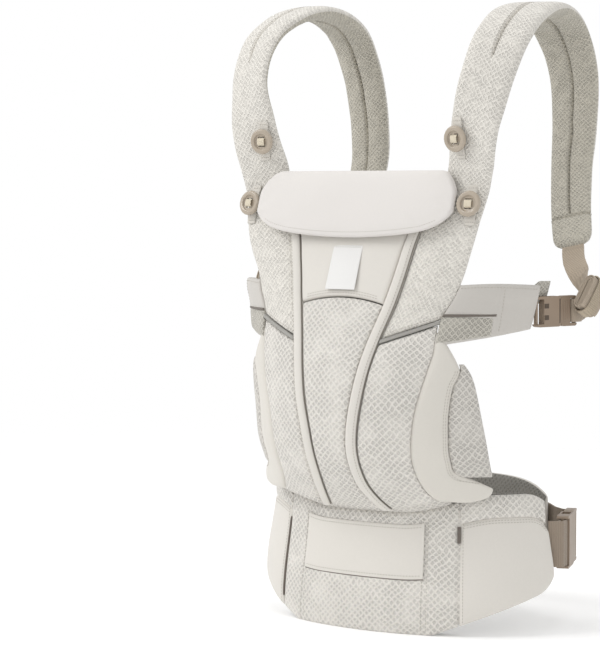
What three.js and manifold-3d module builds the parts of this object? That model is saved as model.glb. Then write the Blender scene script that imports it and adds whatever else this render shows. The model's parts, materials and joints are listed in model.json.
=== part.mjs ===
// A soft baby carrier standing on its padded waist belt: a bucket-shaped front panel, two padded
// shoulder straps that loop over and come back down to side wings, a fold-down head support,
// buttons, webbing and side-release buckles. Millimetres, +Z up, the front faces -Y.
import * as THREE from "three";
import { mergeVertices } from "three/addons/utils/BufferGeometryUtils.js";
import Module from "manifold-3d";

const wasm = await Module();
wasm.setup();

// ---- Driving dimensions -------------------------------------------------------------------
const SEAM_GAP = 1; // between two cloth pieces sewn edge to edge
const LEG_GAP = 2.2; // along the curved seams of the leg pads
const LAYER_GAP = 1.2; // between two cloth layers laid on each other

// Waist belt: an oval ring of pads, low at the front and rising towards its ends.
const BELT_HALF_WIDTH = 186; // half of the ring across, X
const BELT_HALF_DEPTH = 124.5; // half of the ring front to back, Y
const BELT_HEIGHT = 131; // top edge at the front
const BELT_PAD = 20; // thickness of the padded belt
const BELT_FLARE = 6; // the lower edge stands out by this and the upper edge tucks in by it
const BELT_FRONT_REACH = 118; // along the ring from the middle to the side seam
const BELT_REACH = 225; // along the ring from the middle to the end of a pad
const BELT_FLAT_REACH = 88; // the lower edge rests on the ground this far from the middle
const BELT_RISE = 0.37; // then it climbs by this much for each millimetre
const BELT_SIDE_RISE = 21; // the upper edge climbs this much towards the sides
const COVER = 3; // thickness of a cover layer
const PATCH_REACH = 76; // half length of the smooth patch, along the ring
const PATCH_SHARES = [0.45, 0.9]; // its lower and upper edges, as shares of the belt's height
const LINING = 2.5; // thickness of a lining layer

// Front panel
const PANEL_FOOT = BELT_HEIGHT + 2;
const PANEL_TOP = 482;
const PANEL_PAD = 9;
const RIB_WIDTH = 13;
const RIB_PROUD = 2;
const ARCH_HEIGHT = 366; // where the smooth upper panel ends over the mesh, on the middle
const ARCH_DROP = 8; // and how much lower it ends beside the ribs
const PIPING_LOW = 319; // height of the piping beside a rib
const PIPING_HIGH = 341; // and at the outer edge of the panel
const PIPING_HEIGHT = 4;
const PIPING_PROUD = 1.5;
const WAIST_REACH = 120; // half width of the panel, along the surface, at the piping
const LEG_TOP = 306;
const LEG_PAD = 14;
const GUSSET_FOOT = 169;
const LABEL_HALF_WIDTH = 19;
const LABEL_TOP = 420;
const LABEL_FOOT = 372;

// Side wings, which carry the shoulder buckles
const WING_REACH = 228; // along the surface from the middle to the wing's end
const WING_BEND = 118; // the wing curls round the body from here
const WING_RADIUS = 126;
const WING_POCKET_REACH = 180; // the mesh pocket ends here
const WING_SPLIT = 348; // height of the pocket's mouth
const WING_PAD = 7;
const WING_BUCKLE_HEIGHT = 349; // middle of the shoulder buckle

// Head support
const FLAP_HALF_WIDTH = 128;
const FLAP_STRAIGHT = 104; // half length of the straight folded edge
const FLAP_TOP = 501;
const FLAP_DEPTH = 72; // how far it hangs down
const FLAP_FRONT = 126; // how far in front of the ring's middle the fold lies
const FLAP_LEAN = 28; // the lower edge stands this much further out
const FLAP_PAD = 9;
const FLAP_CORE = 3;

// Shoulder straps
const STRAP_PAD = 15;
const STRAP_LIFT = { right: 0, left: 8 }; // how much higher each soft loop stands
const STRAP_SPLIT = 472; // height where the free strap leaves the panel
const TAPE_WIDTH = 15;
const TAPE_THICKNESS = 1.2;
const TAPE_TOP = 556;
const TAPE_FOOT = 440;
const BUTTON_RADIUS = 14;
const BUTTON_THICKNESS = 5;
const BUTTON_DISH = 8.2; // radius of the dished middle
const BUTTON_STANDOFF = 4.6; // back of the button above the strap's face
const BUTTONS = {
  upper: { x: 128, z: 532 },
  lower: { x: FLAP_HALF_WIDTH + BUTTON_RADIUS + 1, z: 464 }, // just outside the end of the head support
};

// Webbing and buckles
const LUMBAR_PAD = 17;
const SHOULDER_WEB = 25;
const WAIST_WEB = 50;
const WEB_THICKNESS = 2;
const WEB_HEIGHT = 96; // middle of the waist webbing above the ground
const WEB_IN = -6; // the waist webbing runs this much inside the oval
const TURN_LENGTH = 40; // the stretch of webbing that turns round a bar
const TURN_STEPS = 20;
const BUCKLE_AT = 292; // where the waist buckle's mouth lies, along the ring from the front middle
const LUMBAR_FROM = 360; // the back pad starts here, along the ring
const BUCKLE_CLEARANCE = 0.5;
const ROLL_HALF = 12; // the rolled spare webbing: half its straight side, and its end radius
const ROLL_RADIUS = 9;
const ELASTIC_WIDTH = 12;
const BAR_HALF = 1.6; // half of the square bar that webbing turns round

// ---- Curves -------------------------------------------------------------------------------
// A smooth function through [at, value] pairs: cubic pieces whose slopes are those between neighbours.
function smooth(pairs) {
  const slope = (i) => {
    const a = pairs[Math.max(i - 1, 0)], b = pairs[Math.min(i + 1, pairs.length - 1)];
    return (b[1] - a[1]) / (b[0] - a[0]);
  };
  return (t) => {
    let i = 0;
    while (i < pairs.length - 2 && t > pairs[i + 1][0]) i += 1;
    const [a, va] = pairs[i], [b, vb] = pairs[i + 1];
    const q = THREE.MathUtils.clamp((t - a) / (b - a), 0, 1), d = b - a;
    const q2 = q * q, q3 = q2 * q;
    return (2 * q3 - 3 * q2 + 1) * va + (q3 - 2 * q2 + q) * d * slope(i)
      + (3 * q2 - 2 * q3) * vb + (q3 - q2) * d * slope(i + 1);
  };
}

const mix = THREE.MathUtils.lerp;

// How far the panel's middle stands in front of the ring's middle, by height.
const panelFront = smooth([
  [130, 125], [148, 147], [167, 164], [195, 179], [221, 185], [256, 187],
  [288, 183], [317, 175], [358, 161], [400, 148], [445, 134], [500, 119],
]);
// Radius of the panel's plan curve, by height: tight round the seat and nearly flat at the top.
const panelRadius = smooth([
  [130, 278], [165, 190], [210, 180], [250, 182], [300, 215], [340, 270], [365, 330], [400, 510], [450, 1400],
  [500, 2200],
]);
// Distance along the surface from the middle to the centre of a rib, by height.
const ribReach = smooth([
  [130, 42], [148, 34], [167, 29], [196, 28], [224, 30.5], [259, 37],
  [291, 43], [319, 49.5], [360, 61], [400, 70], [427, 76], [480, 92],
]);
// Outer edge of the panel where the strap runs down it, by height.
const strapEdge = smooth([[320, 118], [345, 120], [364, 130], [396, 141],
  [427, 149], [459, 155], [475, 156]]);
// Front edge of the leg pad, the seam between pad and gusset, and the leg opening's edge, by height.
const legFront = smooth([[144, 106], [158, 97], [185, 93], [212, 95], [246, 101], [278, 110], [307, 117]]);
const legSeam = smooth([[165, 172], [173, 141], [192, 136], [219, 137],
  [246, 139], [272, 143], [293, 149], [307, 133]]);
const legEdge = smooth([[144, 134], [152, 163], [166, 175], [191, 179],
  [218, 178], [259, 170], [285, 160], [307, 141]]);

// A point of the panel's outer face: reach is the distance along the surface from the middle.
function panelPoint(reach, z, bend = Infinity) {
  const radius = panelRadius(z), side = Math.sign(reach) || 1;
  const held = Math.min(Math.abs(reach), bend), past = Math.abs(reach) - held;
  const turn = held / radius, more = turn + past / WING_RADIUS;
  const x = radius * Math.sin(turn) + WING_RADIUS * (Math.sin(more) - Math.sin(turn));
  const y = -panelFront(z) + radius * (1 - Math.cos(turn)) + WING_RADIUS * (Math.cos(turn) - Math.cos(more));
  return new THREE.Vector3(side * x, y, z);
}

// Points of the oval ring by distance along it from the front middle, found by walking round it.
const RING_STEPS = 720;
const ringTable = [[0, 0]];
for (let i = 1, along = 0; i <= RING_STEPS; i += 1) {
  const a = (Math.PI * (i - 1)) / RING_STEPS, b = (Math.PI * i) / RING_STEPS;
  along += Math.hypot(
    BELT_HALF_WIDTH * (Math.sin(b) - Math.sin(a)), BELT_HALF_DEPTH * (Math.cos(b) - Math.cos(a)));
  ringTable.push([along, b]);
}
function ringPoint(reach, z, out = 0) {
  const side = Math.sign(reach) || 1, far = Math.abs(reach);
  let i = 1;
  while (i < RING_STEPS && ringTable[i][0] < far) i += 1;
  const [a, ta] = ringTable[i - 1], [b, tb] = ringTable[i];
  const turn = mix(ta, tb, (far - a) / (b - a));
  const outward = new THREE.Vector2(Math.sin(turn) / BELT_HALF_WIDTH, -Math.cos(turn) / BELT_HALF_DEPTH);
  outward.normalize();
  return new THREE.Vector3(
    side * (BELT_HALF_WIDTH * Math.sin(turn) + out * outward.x),
    -BELT_HALF_DEPTH * Math.cos(turn) + out * outward.y, z);
}

const beltFoot = (reach) => Math.max(0, (Math.abs(reach) - BELT_FLAT_REACH) * BELT_RISE);
function beltTop(reach) {
  const climb = THREE.MathUtils.smoothstep(Math.abs(reach), 50, 165) * BELT_SIDE_RISE;
  const fall = Math.max(0, Math.abs(reach) - 195) / 30;
  return BELT_HEIGHT + climb - 11 * fall * fall;
}
// How far the belt's outer face stands out of the oval at share v of its height.
const beltOut = (v) => BELT_FLARE * Math.cos(Math.PI * v) - 7 * Math.max(0, 0.12 - v) / 0.12
  - 5 * Math.max(0, v - 0.88) / 0.12;

// ---- Solids -------------------------------------------------------------------------------
const fabric = (hex, roughness = 0.95) => new THREE.MeshStandardMaterial({ color: hex, roughness });
const MATERIALS = {
  mesh: fabric(0xdedbd4), plain: fabric(0xe6e2dc), pad: fabric(0xd4d1ca), lining: fabric(0xb9b6ae),
  foam: fabric(0xf2efe6), webbing: fabric(0xa4937f, 0.85), piping: fabric(0x8d8b86, 0.7),
  label: fabric(0xf8f7f4), plastic: fabric(0x9c8a76, 0.5), button: fabric(0xb9a994, 0.4),
};

const carrier = new THREE.Group();
function add(name, geometry, material, group = carrier) {
  const mesh = new THREE.Mesh(geometry, MATERIALS[material]);
  mesh.name = name;
  group.add(mesh);
  return mesh;
}

// A closed six-sided sheet: at(u, v, w) gives its points, with w 0 on the back face and 1 on the front.
function sheet(across, along, at) {
  const us = typeof across === "number" ? steps(across) : across;
  const vs = typeof along === "number" ? steps(along) : along;
  const nu = us.length - 1, nv = vs.length - 1, positions = [], index = [];
  for (const w of [0, 1]) for (const v of vs) for (const u of us) positions.push(...at(u, v, w).toArray());
  const id = (i, j, w) => (w * (nv + 1) + j) * (nu + 1) + i;
  const quad = (a, b, c, d) => index.push(a, b, c, a, c, d);
  for (let j = 0; j < nv; j += 1) for (let i = 0; i < nu; i += 1) {
    quad(id(i, j, 1), id(i + 1, j, 1), id(i + 1, j + 1, 1), id(i, j + 1, 1));
    index.push(id(i, j, 0), id(i + 1, j + 1, 0), id(i + 1, j, 0));
    index.push(id(i, j, 0), id(i, j + 1, 0), id(i + 1, j + 1, 0));
  }
  for (let i = 0; i < nu; i += 1) {
    quad(id(i, 0, 0), id(i + 1, 0, 0), id(i + 1, 0, 1), id(i, 0, 1));
    quad(id(i + 1, nv, 0), id(i, nv, 0), id(i, nv, 1), id(i + 1, nv, 1));
  }
  for (let j = 0; j < nv; j += 1) {
    quad(id(0, j + 1, 0), id(0, j, 0), id(0, j, 1), id(0, j + 1, 1));
    quad(id(nu, j, 0), id(nu, j + 1, 0), id(nu, j + 1, 1), id(nu, j, 1));
  }
  return facingOut(positions, index);
}

const steps = (n) => Array.from({ length: n + 1 }, (_, i) => i / n);

// Turns a closed surface's faces outwards and returns it as a geometry.
function facingOut(positions, index) {
  let volume = 0;
  const at = (i) => new THREE.Vector3().fromArray(positions, 3 * i);
  for (let i = 0; i < index.length; i += 3) {
    volume += at(index[i]).dot(at(index[i + 1]).cross(at(index[i + 2])));
  }
  const ordered = volume < 0 ? [...index].reverse() : index;
  const geometry = new THREE.BufferGeometry();
  geometry.setAttribute("position", new THREE.Float32BufferAttribute(positions, 3));
  geometry.setIndex(ordered);
  return geometry;
}

function solidOf(geometry) {
  const g = geometry.clone();
  g.deleteAttribute("normal");
  g.deleteAttribute("uv");
  const merged = mergeVertices(g, 1e-4);
  return new wasm.Manifold(new wasm.Mesh({
    numProp: 3, vertProperties: merged.attributes.position.array,
    triVerts: new Uint32Array(merged.index.array),
  }));
}
function geometryOf(solid) {
  const m = solid.getMesh(), geometry = new THREE.BufferGeometry();
  geometry.setAttribute("position", new THREE.BufferAttribute(new Float32Array(m.vertProperties), 3));
  geometry.setIndex(new THREE.BufferAttribute(m.triVerts, 1));
  return geometry;
}
// A block between two corners.
function block(low, high) {
  const size = high.map((h, i) => h - low[i]);
  return solidOf(new THREE.BoxGeometry(...size).translate(...low.map((l, i) => l + size[i] / 2)));
}
// A plate in the XY plane with rounded corners.
function plate(low, high, z0, z1, radius) {
  const [x0, y0] = low, [x1, y1] = high, shape = new THREE.Shape();
  shape.moveTo(x0 + radius, y0);
  shape.lineTo(x1 - radius, y0).absarc(x1 - radius, y0 + radius, radius, -Math.PI / 2, 0);
  shape.lineTo(x1, y1 - radius).absarc(x1 - radius, y1 - radius, radius, 0, Math.PI / 2);
  shape.lineTo(x0 + radius, y1).absarc(x0 + radius, y1 - radius, radius, Math.PI / 2, Math.PI);
  shape.lineTo(x0, y0 + radius).absarc(x0 + radius, y0 + radius, radius, Math.PI, 1.5 * Math.PI);
  return solidOf(new THREE.ExtrudeGeometry(shape, { depth: z1 - z0, bevelEnabled: false, curveSegments: 3 })
    .translate(0, 0, z0));
}

// A group whose X, Y and Z run along three directions, at a place.
function placed(origin, x, y, z, parent = carrier) {
  const group = new THREE.Group();
  group.setRotationFromMatrix(new THREE.Matrix4().makeBasis(x, y, z));
  group.position.copy(origin);
  parent.add(group);
  return group;
}

// Moves a surface point along its outward normal, found from its two neighbours.
function offset(surface, a, b, out) {
  const step = 0.5, at = surface(a, b);
  const da = surface(a + step, b).sub(surface(a - step, b));
  const db = surface(a, b + step).sub(surface(a, b - step));
  return at.addScaledVector(da.cross(db).normalize(), out);
}
const onPanel = (reach, z, out) => offset((a, b) => panelPoint(a, b), reach, z, out);
const onWing = (reach, z, out) => offset((a, b) => panelPoint(a, b, WING_BEND), reach, z, out);

const SIDES = [["right", 1], ["left", -1]];

// ---- Waist belt ---------------------------------------------------------------------------
// A layer of the belt between two reaches and two shares of its height, from one depth to another.
function beltLayer(from, to, across, shares, depths, edgeFrom = from) {
  return sheet(across, shares, (u, v, w) => {
    const reach = mix(mix(edgeFrom, from, v), to, u);
    const z = mix(beltFoot(reach), beltTop(reach), v);
    return ringPoint(reach, z, beltOut(v) - mix(depths[1], depths[0], w));
  });
}
const BELT_SHARES = [0, 0.12, 0.35, 0.65, 0.88, 1];

function makeBelt() {
  const front = BELT_FRONT_REACH - SEAM_GAP;
  add("belt_front_cover", beltLayer(-front, front, 12, BELT_SHARES, [0, COVER]), "mesh");
  add("belt_foam", beltLayer(-BELT_REACH + 3, BELT_REACH - 3, 20, [0.04, 0.12, 0.35, 0.65, 0.88, 0.96],
    [COVER + LAYER_GAP, BELT_PAD - LINING - LAYER_GAP]), "foam");
  add("belt_lining", beltLayer(-BELT_REACH, BELT_REACH, 20, BELT_SHARES,
    [BELT_PAD - LINING, BELT_PAD]), "lining");
  for (const [side, sign] of SIDES) {
    add("belt_side_cover_" + side, beltLayer(sign * BELT_FRONT_REACH, sign * BELT_REACH, 6,
      BELT_SHARES, [0, COVER]), "plain");
  }
  // The smooth patch in the middle of the front, laid on the mesh.
  const [low, high] = PATCH_SHARES;
  add("accessory_patch", sheet(7, [0, 1 / 3, 1], (u, v, w) => {
    const reach = mix(-PATCH_REACH, PATCH_REACH, u), share = mix(low, high, v);
    const z = mix(beltFoot(reach), beltTop(reach), share);
    return ringPoint(reach, z, beltOut(Math.min(share, 0.88)) + 0.9 + 1.4 * w);
  }), "plain");
}

// ---- Waist closure ------------------------------------------------------------------------
const RING_LENGTH = 2 * ringTable[RING_STEPS][0];
const ringRun = (reach, z, out) => (reach <= RING_LENGTH / 2
  ? ringPoint(reach, z, out) : ringPoint(reach - RING_LENGTH, z, out));
const WEB_START = BELT_REACH + 1;

function webHeight(reach) {
  return WEB_HEIGHT + 8 * THREE.MathUtils.smoothstep(reach, 330, 420);
}

// Webbing along a line of points; across(v) gives its width direction at share v of the line.
// The turn round a bar, at the line's start or end, has steps of its own.
function ribbon(points, turnAt, restSteps, width, across) {
  const line = new THREE.CatmullRomCurve3(points, false, "centripetal");
  const turn = TURN_LENGTH / line.getLength(), fine = steps(TURN_STEPS).map((v) => v * turn);
  const coarse = steps(restSteps).slice(1).map((v) => mix(turn, 1, v));
  const shares = [...fine, ...coarse].map((v) => (turnAt === "start" ? v : 1 - v));
  return sheet(1, shares, (u, v, w) => {
    const along = line.getTangentAt(v), wide = across(v).clone();
    wide.addScaledVector(along, -wide.dot(along)).normalize();
    const face = wide.clone().cross(along);
    return line.getPointAt(v).addScaledVector(wide, (u - 0.5) * width)
      .addScaledVector(face, WEB_THICKNESS * (w - 0.5));
  });
}
// The turn of webbing round a buckle's bar, seen from its edge: [along the pull, out of the face].
const barTurn = (far) => [
  [far, 1.6], [4.6, 2.6], [0.6, 4.1], [-3.2, 3.2], [-4.6, 0],
  [-3.2, -3.2], [0.6, -4.1], [4.6, -2.6], [far, -1.6],
];

// A side-release buckle for webbing of one width, built along X: the plug pulls out towards +X.
function buckleParts(web) {
  const k = web / SHOULDER_WEB, root = Math.sqrt(k), half = web / 2 + 4, deep = 4.6 * root;
  const socketLength = 26 * root, plugLength = 17 * root + 5, hole = web / 2 + 0.9, bay = 9.5;
  const reach = 18 * root, throat = half - 3.5, cavity = deep - 1.8, back = -socketLength - 8;
  const bar = (x) => block([x - BAR_HALF, -hole - 1, -BAR_HALF], [x + BAR_HALF, hole + 1, BAR_HALF]);
  const socket = plate([back, -half], [0, half], -deep, deep, 4)
    .subtract(block([-reach - 2, -throat, -cavity], [1, throat, cavity]))
    .subtract(block([-reach + 1, -half - 1, -cavity], [-7, half + 1, cavity]))
    .subtract(block([back - 1, -hole, -deep - 1], [back + bay, hole, deep + 1]))
    .add(bar(back + BAR_HALF));
  const tongue = cavity - BUCKLE_CLEARANCE, end = 1 + plugLength;
  const plug = plate([1, -half], [end, half], -deep + 1.2, deep - 1.2, 3)
    .subtract(block([end - bay, -hole, -deep], [end + 1, hole, deep]))
    .add(bar(end - BAR_HALF))
    .add(block([-reach + 1, -3.4 * k, -tongue], [2, 3.4 * k, tongue]));
  const outer = throat - BUCKLE_CLEARANCE, shape = new THREE.Shape();
  shape.moveTo(-0.6, outer - 4.6);
  shape.quadraticCurveTo(-reach * 0.45, outer - 4, -reach * 0.5, outer);
  shape.lineTo(-reach * 0.85, outer);
  shape.quadraticCurveTo(-reach, outer - 1, -reach, outer - 4.4);
  shape.lineTo(-reach * 0.55, outer - 4.2);
  shape.quadraticCurveTo(-reach * 0.4, outer - 7.2, -0.6, outer - 7.6);
  const latch = new THREE.ExtrudeGeometry(shape, {
    depth: 2 * tongue, bevelEnabled: false, curveSegments: 3,
  }).translate(0, 0, -tongue);
  return { socket, plug, latch, socketBar: back + BAR_HALF, plugBar: end - BAR_HALF };
}

// Adds a buckle's four pieces to a group whose X is the way the plug pulls out.
function addBuckle(prefix, suffix, made, group) {
  add(prefix + "_socket" + suffix, geometryOf(made.socket), "plastic", group);
  add(prefix + "_plug" + suffix, geometryOf(made.plug), "plastic", group);
  add(prefix + "_latch_upper" + suffix, made.latch, "plastic", group);
  add(prefix + "_latch_lower" + suffix, made.latch.clone().rotateX(Math.PI), "plastic", group);
}

const UP = new THREE.Vector3(0, 0, 1);
function makeWaistClosure() {
  const mouth = ringRun(BUCKLE_AT, WEB_HEIGHT, WEB_IN), made = buckleParts(WAIST_WEB);
  const pull = ringRun(BUCKLE_AT + 4, WEB_HEIGHT, WEB_IN).sub(ringRun(BUCKLE_AT - 30, WEB_HEIGHT, WEB_IN));
  pull.normalize();
  const out = pull.clone().cross(UP), across = () => UP;
  addBuckle("waist", "", made, placed(mouth, pull, UP, out));
  const turn = (bar, way, far) => barTurn(far).map(([x, y]) => mouth.clone()
    .addScaledVector(pull, bar - way * x).addScaledVector(out, y));
  add("waist_webbing_right", ribbon([ringRun(WEB_START, WEB_HEIGHT, WEB_IN),
    ...turn(made.socketBar, 1, 12)], "end", 2, WAIST_WEB, across), "webbing");
  const run = [];
  for (let i = 0; i <= 16; i += 1) {
    const reach = mix(LUMBAR_FROM - 16, RING_LENGTH - WEB_START, i / 16);
    run.push(ringRun(reach, webHeight(Math.min(reach, RING_LENGTH - reach)), WEB_IN));
  }
  add("waist_webbing_left", ribbon([...turn(made.plugBar, -1, 12).reverse(), ...run], "start", 28,
    WAIST_WEB, across), "webbing");
  // The back pad lies inside the long webbing.
  const lumbarTo = RING_LENGTH - LUMBAR_FROM;
  add("lumbar_pad", sheet(12, [0, 0.12, 0.5, 0.88, 1], (u, v, w) => {
    const reach = mix(LUMBAR_FROM, lumbarTo, u), end = Math.abs(2 * u - 1) ** 4;
    const tall = 1 - 0.34 * end, round = 1 - 0.35 * (2 * v - 1) ** 4;
    const z = 106 + 46 * tall * (2 * v - 1) - 3 * end;
    return ringRun(reach, z, WEB_IN - 2 - LAYER_GAP - LUMBAR_PAD * (1 - w) * round * (1 - 0.5 * end));
  }), "lining");
  // A slider on the webbing at the back, and the spare end that hangs from it to the ground.
  const at = 0.5 * RING_LENGTH + 44, height = webHeight(at / 2 + 200);
  const seat = ringRun(at, height, WEB_IN), along = ringRun(at + 1, height, WEB_IN).sub(seat).normalize();
  const half = WAIST_WEB / 2 + 4, hole = WAIST_WEB / 2 + 1;
  const slider = plate([-12, -half], [12, half], 2.6, 5.4, 3)
    .subtract(block([-9, -hole, 0], [-2, hole, 7]))
    .subtract(block([2, -hole, 0], [9, hole, 7]));
  add("waist_slider", geometryOf(slider), "plastic", placed(seat, along, UP, along.clone().cross(UP)));
  const tail = sheet(1, 6, (u, v, w) => {
    const drop = mix(height - half - 2, 0, v), bow = 9 * Math.sin(Math.PI * v);
    return ringRun(at + (u - 0.5) * 38, drop, 3 + bow + (v > 0.99 ? 5 : WEB_THICKNESS) * w);
  });
  add("waist_webbing_tail", tail, "webbing");
}

// ---- Front panel --------------------------------------------------------------------------
const HALF_RIB = RIB_WIDTH / 2;
const arch = (reach) => ARCH_HEIGHT - ARCH_DROP * (reach / 54) ** 2;
// Height of the piping's middle at a reach beyond the rib.
const pipingHeight = (reach) => mix(PIPING_LOW, PIPING_HIGH,
  THREE.MathUtils.clamp((Math.abs(reach) - 56) / (WAIST_REACH - 56), 0, 1));
const sideFoot = (reach) => PANEL_FOOT + 12 * THREE.MathUtils.smoothstep(Math.abs(reach), 40, 112);

// A piece of the panel between two reaches that change with height, from one depth to another.
function panelPiece(across, along, reachAt, heightAt, depths, on = onPanel) {
  return sheet(across, along, (u, v, w) => {
    let z = heightAt(0, v), reach = 0;
    for (let pass = 0; pass < 6; pass += 1) {
      reach = reachAt(u, z);
      z = heightAt(reach, v);
    }
    return on(reach, z, -mix(depths[1], depths[0], w));
  });
}

function makePanel() {
  const inner = (z) => ribReach(z) - HALF_RIB - SEAM_GAP, outer = (z) => ribReach(z) + HALF_RIB + SEAM_GAP;
  const middle = (u, z) => mix(-inner(z), inner(z), u);
  add("centre_mesh", panelPiece(4, 11, middle, (r, v) => mix(PANEL_FOOT, arch(r) - SEAM_GAP, v),
    [0, PANEL_PAD]), "mesh");
  add("centre_top", panelPiece(4, 4, middle, (r, v) => mix(arch(r) + SEAM_GAP, PANEL_TOP, v),
    [0, PANEL_PAD]), "plain");
  for (const [side, sign] of SIDES) {
    add("rib_" + side, panelPiece(1, 15, (u, z) => sign * (ribReach(z) + (u - 0.5) * RIB_WIDTH),
      (r, v) => mix(PANEL_FOOT, PANEL_TOP, v), [-RIB_PROUD, PANEL_PAD]), "plain");
    const pipe = PIPING_HEIGHT / 2;
    add("side_mesh_" + side, panelPiece(3, [0, 0.05, 0.1, 0.16, 0.24, 0.36, 0.5, 0.64, 0.8, 1],
      (u, z) => sign * mix(outer(z), legFront(z) - LEG_GAP, u),
      (r, v) => mix(sideFoot(r), pipingHeight(r) - pipe - SEAM_GAP, v), [0, PANEL_PAD]), "mesh");
    add("piping_" + side, panelPiece(4, 1, (u, z) => sign * mix(outer(z), WAIST_REACH, u),
      (r, v) => pipingHeight(r) + PIPING_HEIGHT * (v - 0.5), [-PIPING_PROUD, PANEL_PAD]), "piping");
    add("strap_base_" + side, panelPiece(3, 6, (u, z) => sign * mix(outer(z), strapEdge(z), u),
      (r, v) => mix(pipingHeight(r) + pipe + SEAM_GAP, STRAP_SPLIT, v), [-1, PANEL_PAD]), "mesh");
    makeLeg(side, sign);
    makeWing(side, sign);
  }
  add("panel_lining", panelPiece(12, [0, 0.1, 0.2, 0.35, 0.5, 0.65, 0.8, 1],
    (u, z) => mix(-1, 1, u) * Math.min(WAIST_REACH - 6, legFront(z) - 5),
    (r, v) => mix(PANEL_FOOT + 8, 470, v),
    [PANEL_PAD + 1.6, PANEL_PAD + 1.6 + LINING]), "lining");
  add("label", sheet(1, 3, (u, v, w) => {
    const reach = mix(-LABEL_HALF_WIDTH, LABEL_HALF_WIDTH, u), z = mix(LABEL_TOP, LABEL_FOOT, v);
    return onPanel(reach, z, 1 + 1.2 * w + 3 * v);
  }), "label");
}

function makeLeg(side, sign) {
  const rows = [0, 0.07, 0.14, 0.18, 0.24, 0.36, 0.5, 0.64, 0.78, 0.85, 0.91, 0.96, 1];
  add("leg_pad_" + side, panelPiece(2, rows,
    (u, z) => sign * mix(legFront(z), z < GUSSET_FOOT - 2 ? legEdge(z) : legSeam(z) - LEG_GAP, u),
    (r, v) => mix(PANEL_FOOT + 12, LEG_TOP, v), [-1, LEG_PAD - 2]), "pad");
  add("leg_gusset_" + side, panelPiece(2, 7, (u, z) => sign * mix(legSeam(z), legEdge(z), u),
    (r, v) => mix(GUSSET_FOOT + 10, LEG_TOP - 16, v), [-1, LEG_PAD - 2]), "mesh");
}

function makeWing(side, sign) {
  const foot = (reach) => mix(316, 331, (reach - WAIST_REACH) / (WING_REACH - WAIST_REACH));
  const top = (reach) => 379 + 2 * Math.sin((reach - WAIST_REACH) / 30);
  const start = (z) => Math.max(strapEdge(Math.min(z, 400)), WAIST_REACH) + SEAM_GAP + 1;
  const pocket = (WING_POCKET_REACH - WAIST_REACH) / (WING_REACH - WAIST_REACH);
  add("wing_" + side, sheet([0, 0.25, pocket - 0.02, pocket, 0.8, 1], 3, (u, v, w) => {
    const far = mix(WAIST_REACH, WING_REACH, u);
    const z = mix(u < pocket - 0.01 ? WING_SPLIT + SEAM_GAP : foot(far), top(far), v);
    const reach = mix(start(z), WING_REACH, u);
    return onWing(sign * reach, z, -WING_PAD * (1 - w));
  }), "plain");
  add("wing_mesh_" + side, sheet(4, 2, (u, v, w) => {
    const far = mix(WAIST_REACH, WING_POCKET_REACH - 3, u), z = mix(foot(far), WING_SPLIT - SEAM_GAP, v);
    return onWing(sign * mix(start(z), WING_POCKET_REACH - 3, u), z, -WING_PAD * (1 - w));
  }), "mesh");
}

// ---- Head support -------------------------------------------------------------------------
// The folded flap's outline: a straight fold above, a long curve below, and round ends.
const flapTop = (x) => FLAP_TOP - 24 * Math.max(0, (Math.abs(x) - FLAP_STRAIGHT)
  / (FLAP_HALF_WIDTH - FLAP_STRAIGHT)) ** 2.2;
const flapFoot = (x) => FLAP_TOP - FLAP_DEPTH + 12 * (x / FLAP_HALF_WIDTH) ** 2
  + 16 * Math.abs(x / FLAP_HALF_WIDTH) ** 9;
function flapPoint(x, v, depth) {
  const z = mix(flapFoot(x), flapTop(x), v), down = (FLAP_TOP - z) / FLAP_DEPTH;
  const y = -FLAP_FRONT - FLAP_LEAN * down ** 0.85 + 3 * (x / FLAP_HALF_WIDTH) ** 2 + depth;
  return new THREE.Vector3(x, y, z);
}
function makeFlap() {
  const back = FLAP_PAD, core = (FLAP_PAD - FLAP_CORE) / 2, xs = steps(14);
  const layer = (near, far, trim) => sheet(xs, trim ? [0.06, 0.5, 0.94] : [0, 0.15, 0.5, 0.85, 1],
    (u, v, w) => {
      const x = (2 * u - 1) * (FLAP_HALF_WIDTH - (trim ? 4 : 0));
      return flapPoint(x, v, mix(far, near, w));
    });
  add("head_flap_front", layer(0, core - LAYER_GAP / 2, false), "plain");
  add("head_flap_foam", layer(core, core + FLAP_CORE, true), "foam");
  add("head_flap_back", layer(core + FLAP_CORE + LAYER_GAP / 2, back, false), "plain");
}

// ---- Shoulder straps ----------------------------------------------------------------------
// Middle line of the right strap after it leaves the panel, over the shoulder and down behind.
const STRAP_LINE = new THREE.CatmullRomCurve3([
  [133, -111, 480], [136, -113, 505], [141, -118, 528], [147, -120, 556], [156, -113, 600], [158, -86, 642],
  [153, -36, 670], [148, 14, 676], [144, 60, 658], [143, 92, 612], [139, 102, 552],
  [138, 98, 503], [147, 82, 455], [162, 60, 417],
].map((p) => new THREE.Vector3(...p)), false, "centripetal");
const strapHalfWidth = smooth([
  [0, 31], [0.12, 30], [0.19, 29.5], [0.27, 31], [0.4, 33.5], [0.5, 33.5], [0.65, 30], [0.8, 27], [1, 22.5],
]);
const strapYaw = smooth([
  [0, -8], [0.03, -9], [0.115, -2], [0.19, 16], [0.3, 20], [0.4, 18], [0.6, 8], [0.85, 2], [1, 8],
]);
const strapThick = smooth([[0, 8], [0.06, 11], [0.2, STRAP_PAD], [0.8, STRAP_PAD], [1, 10]]);

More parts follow.
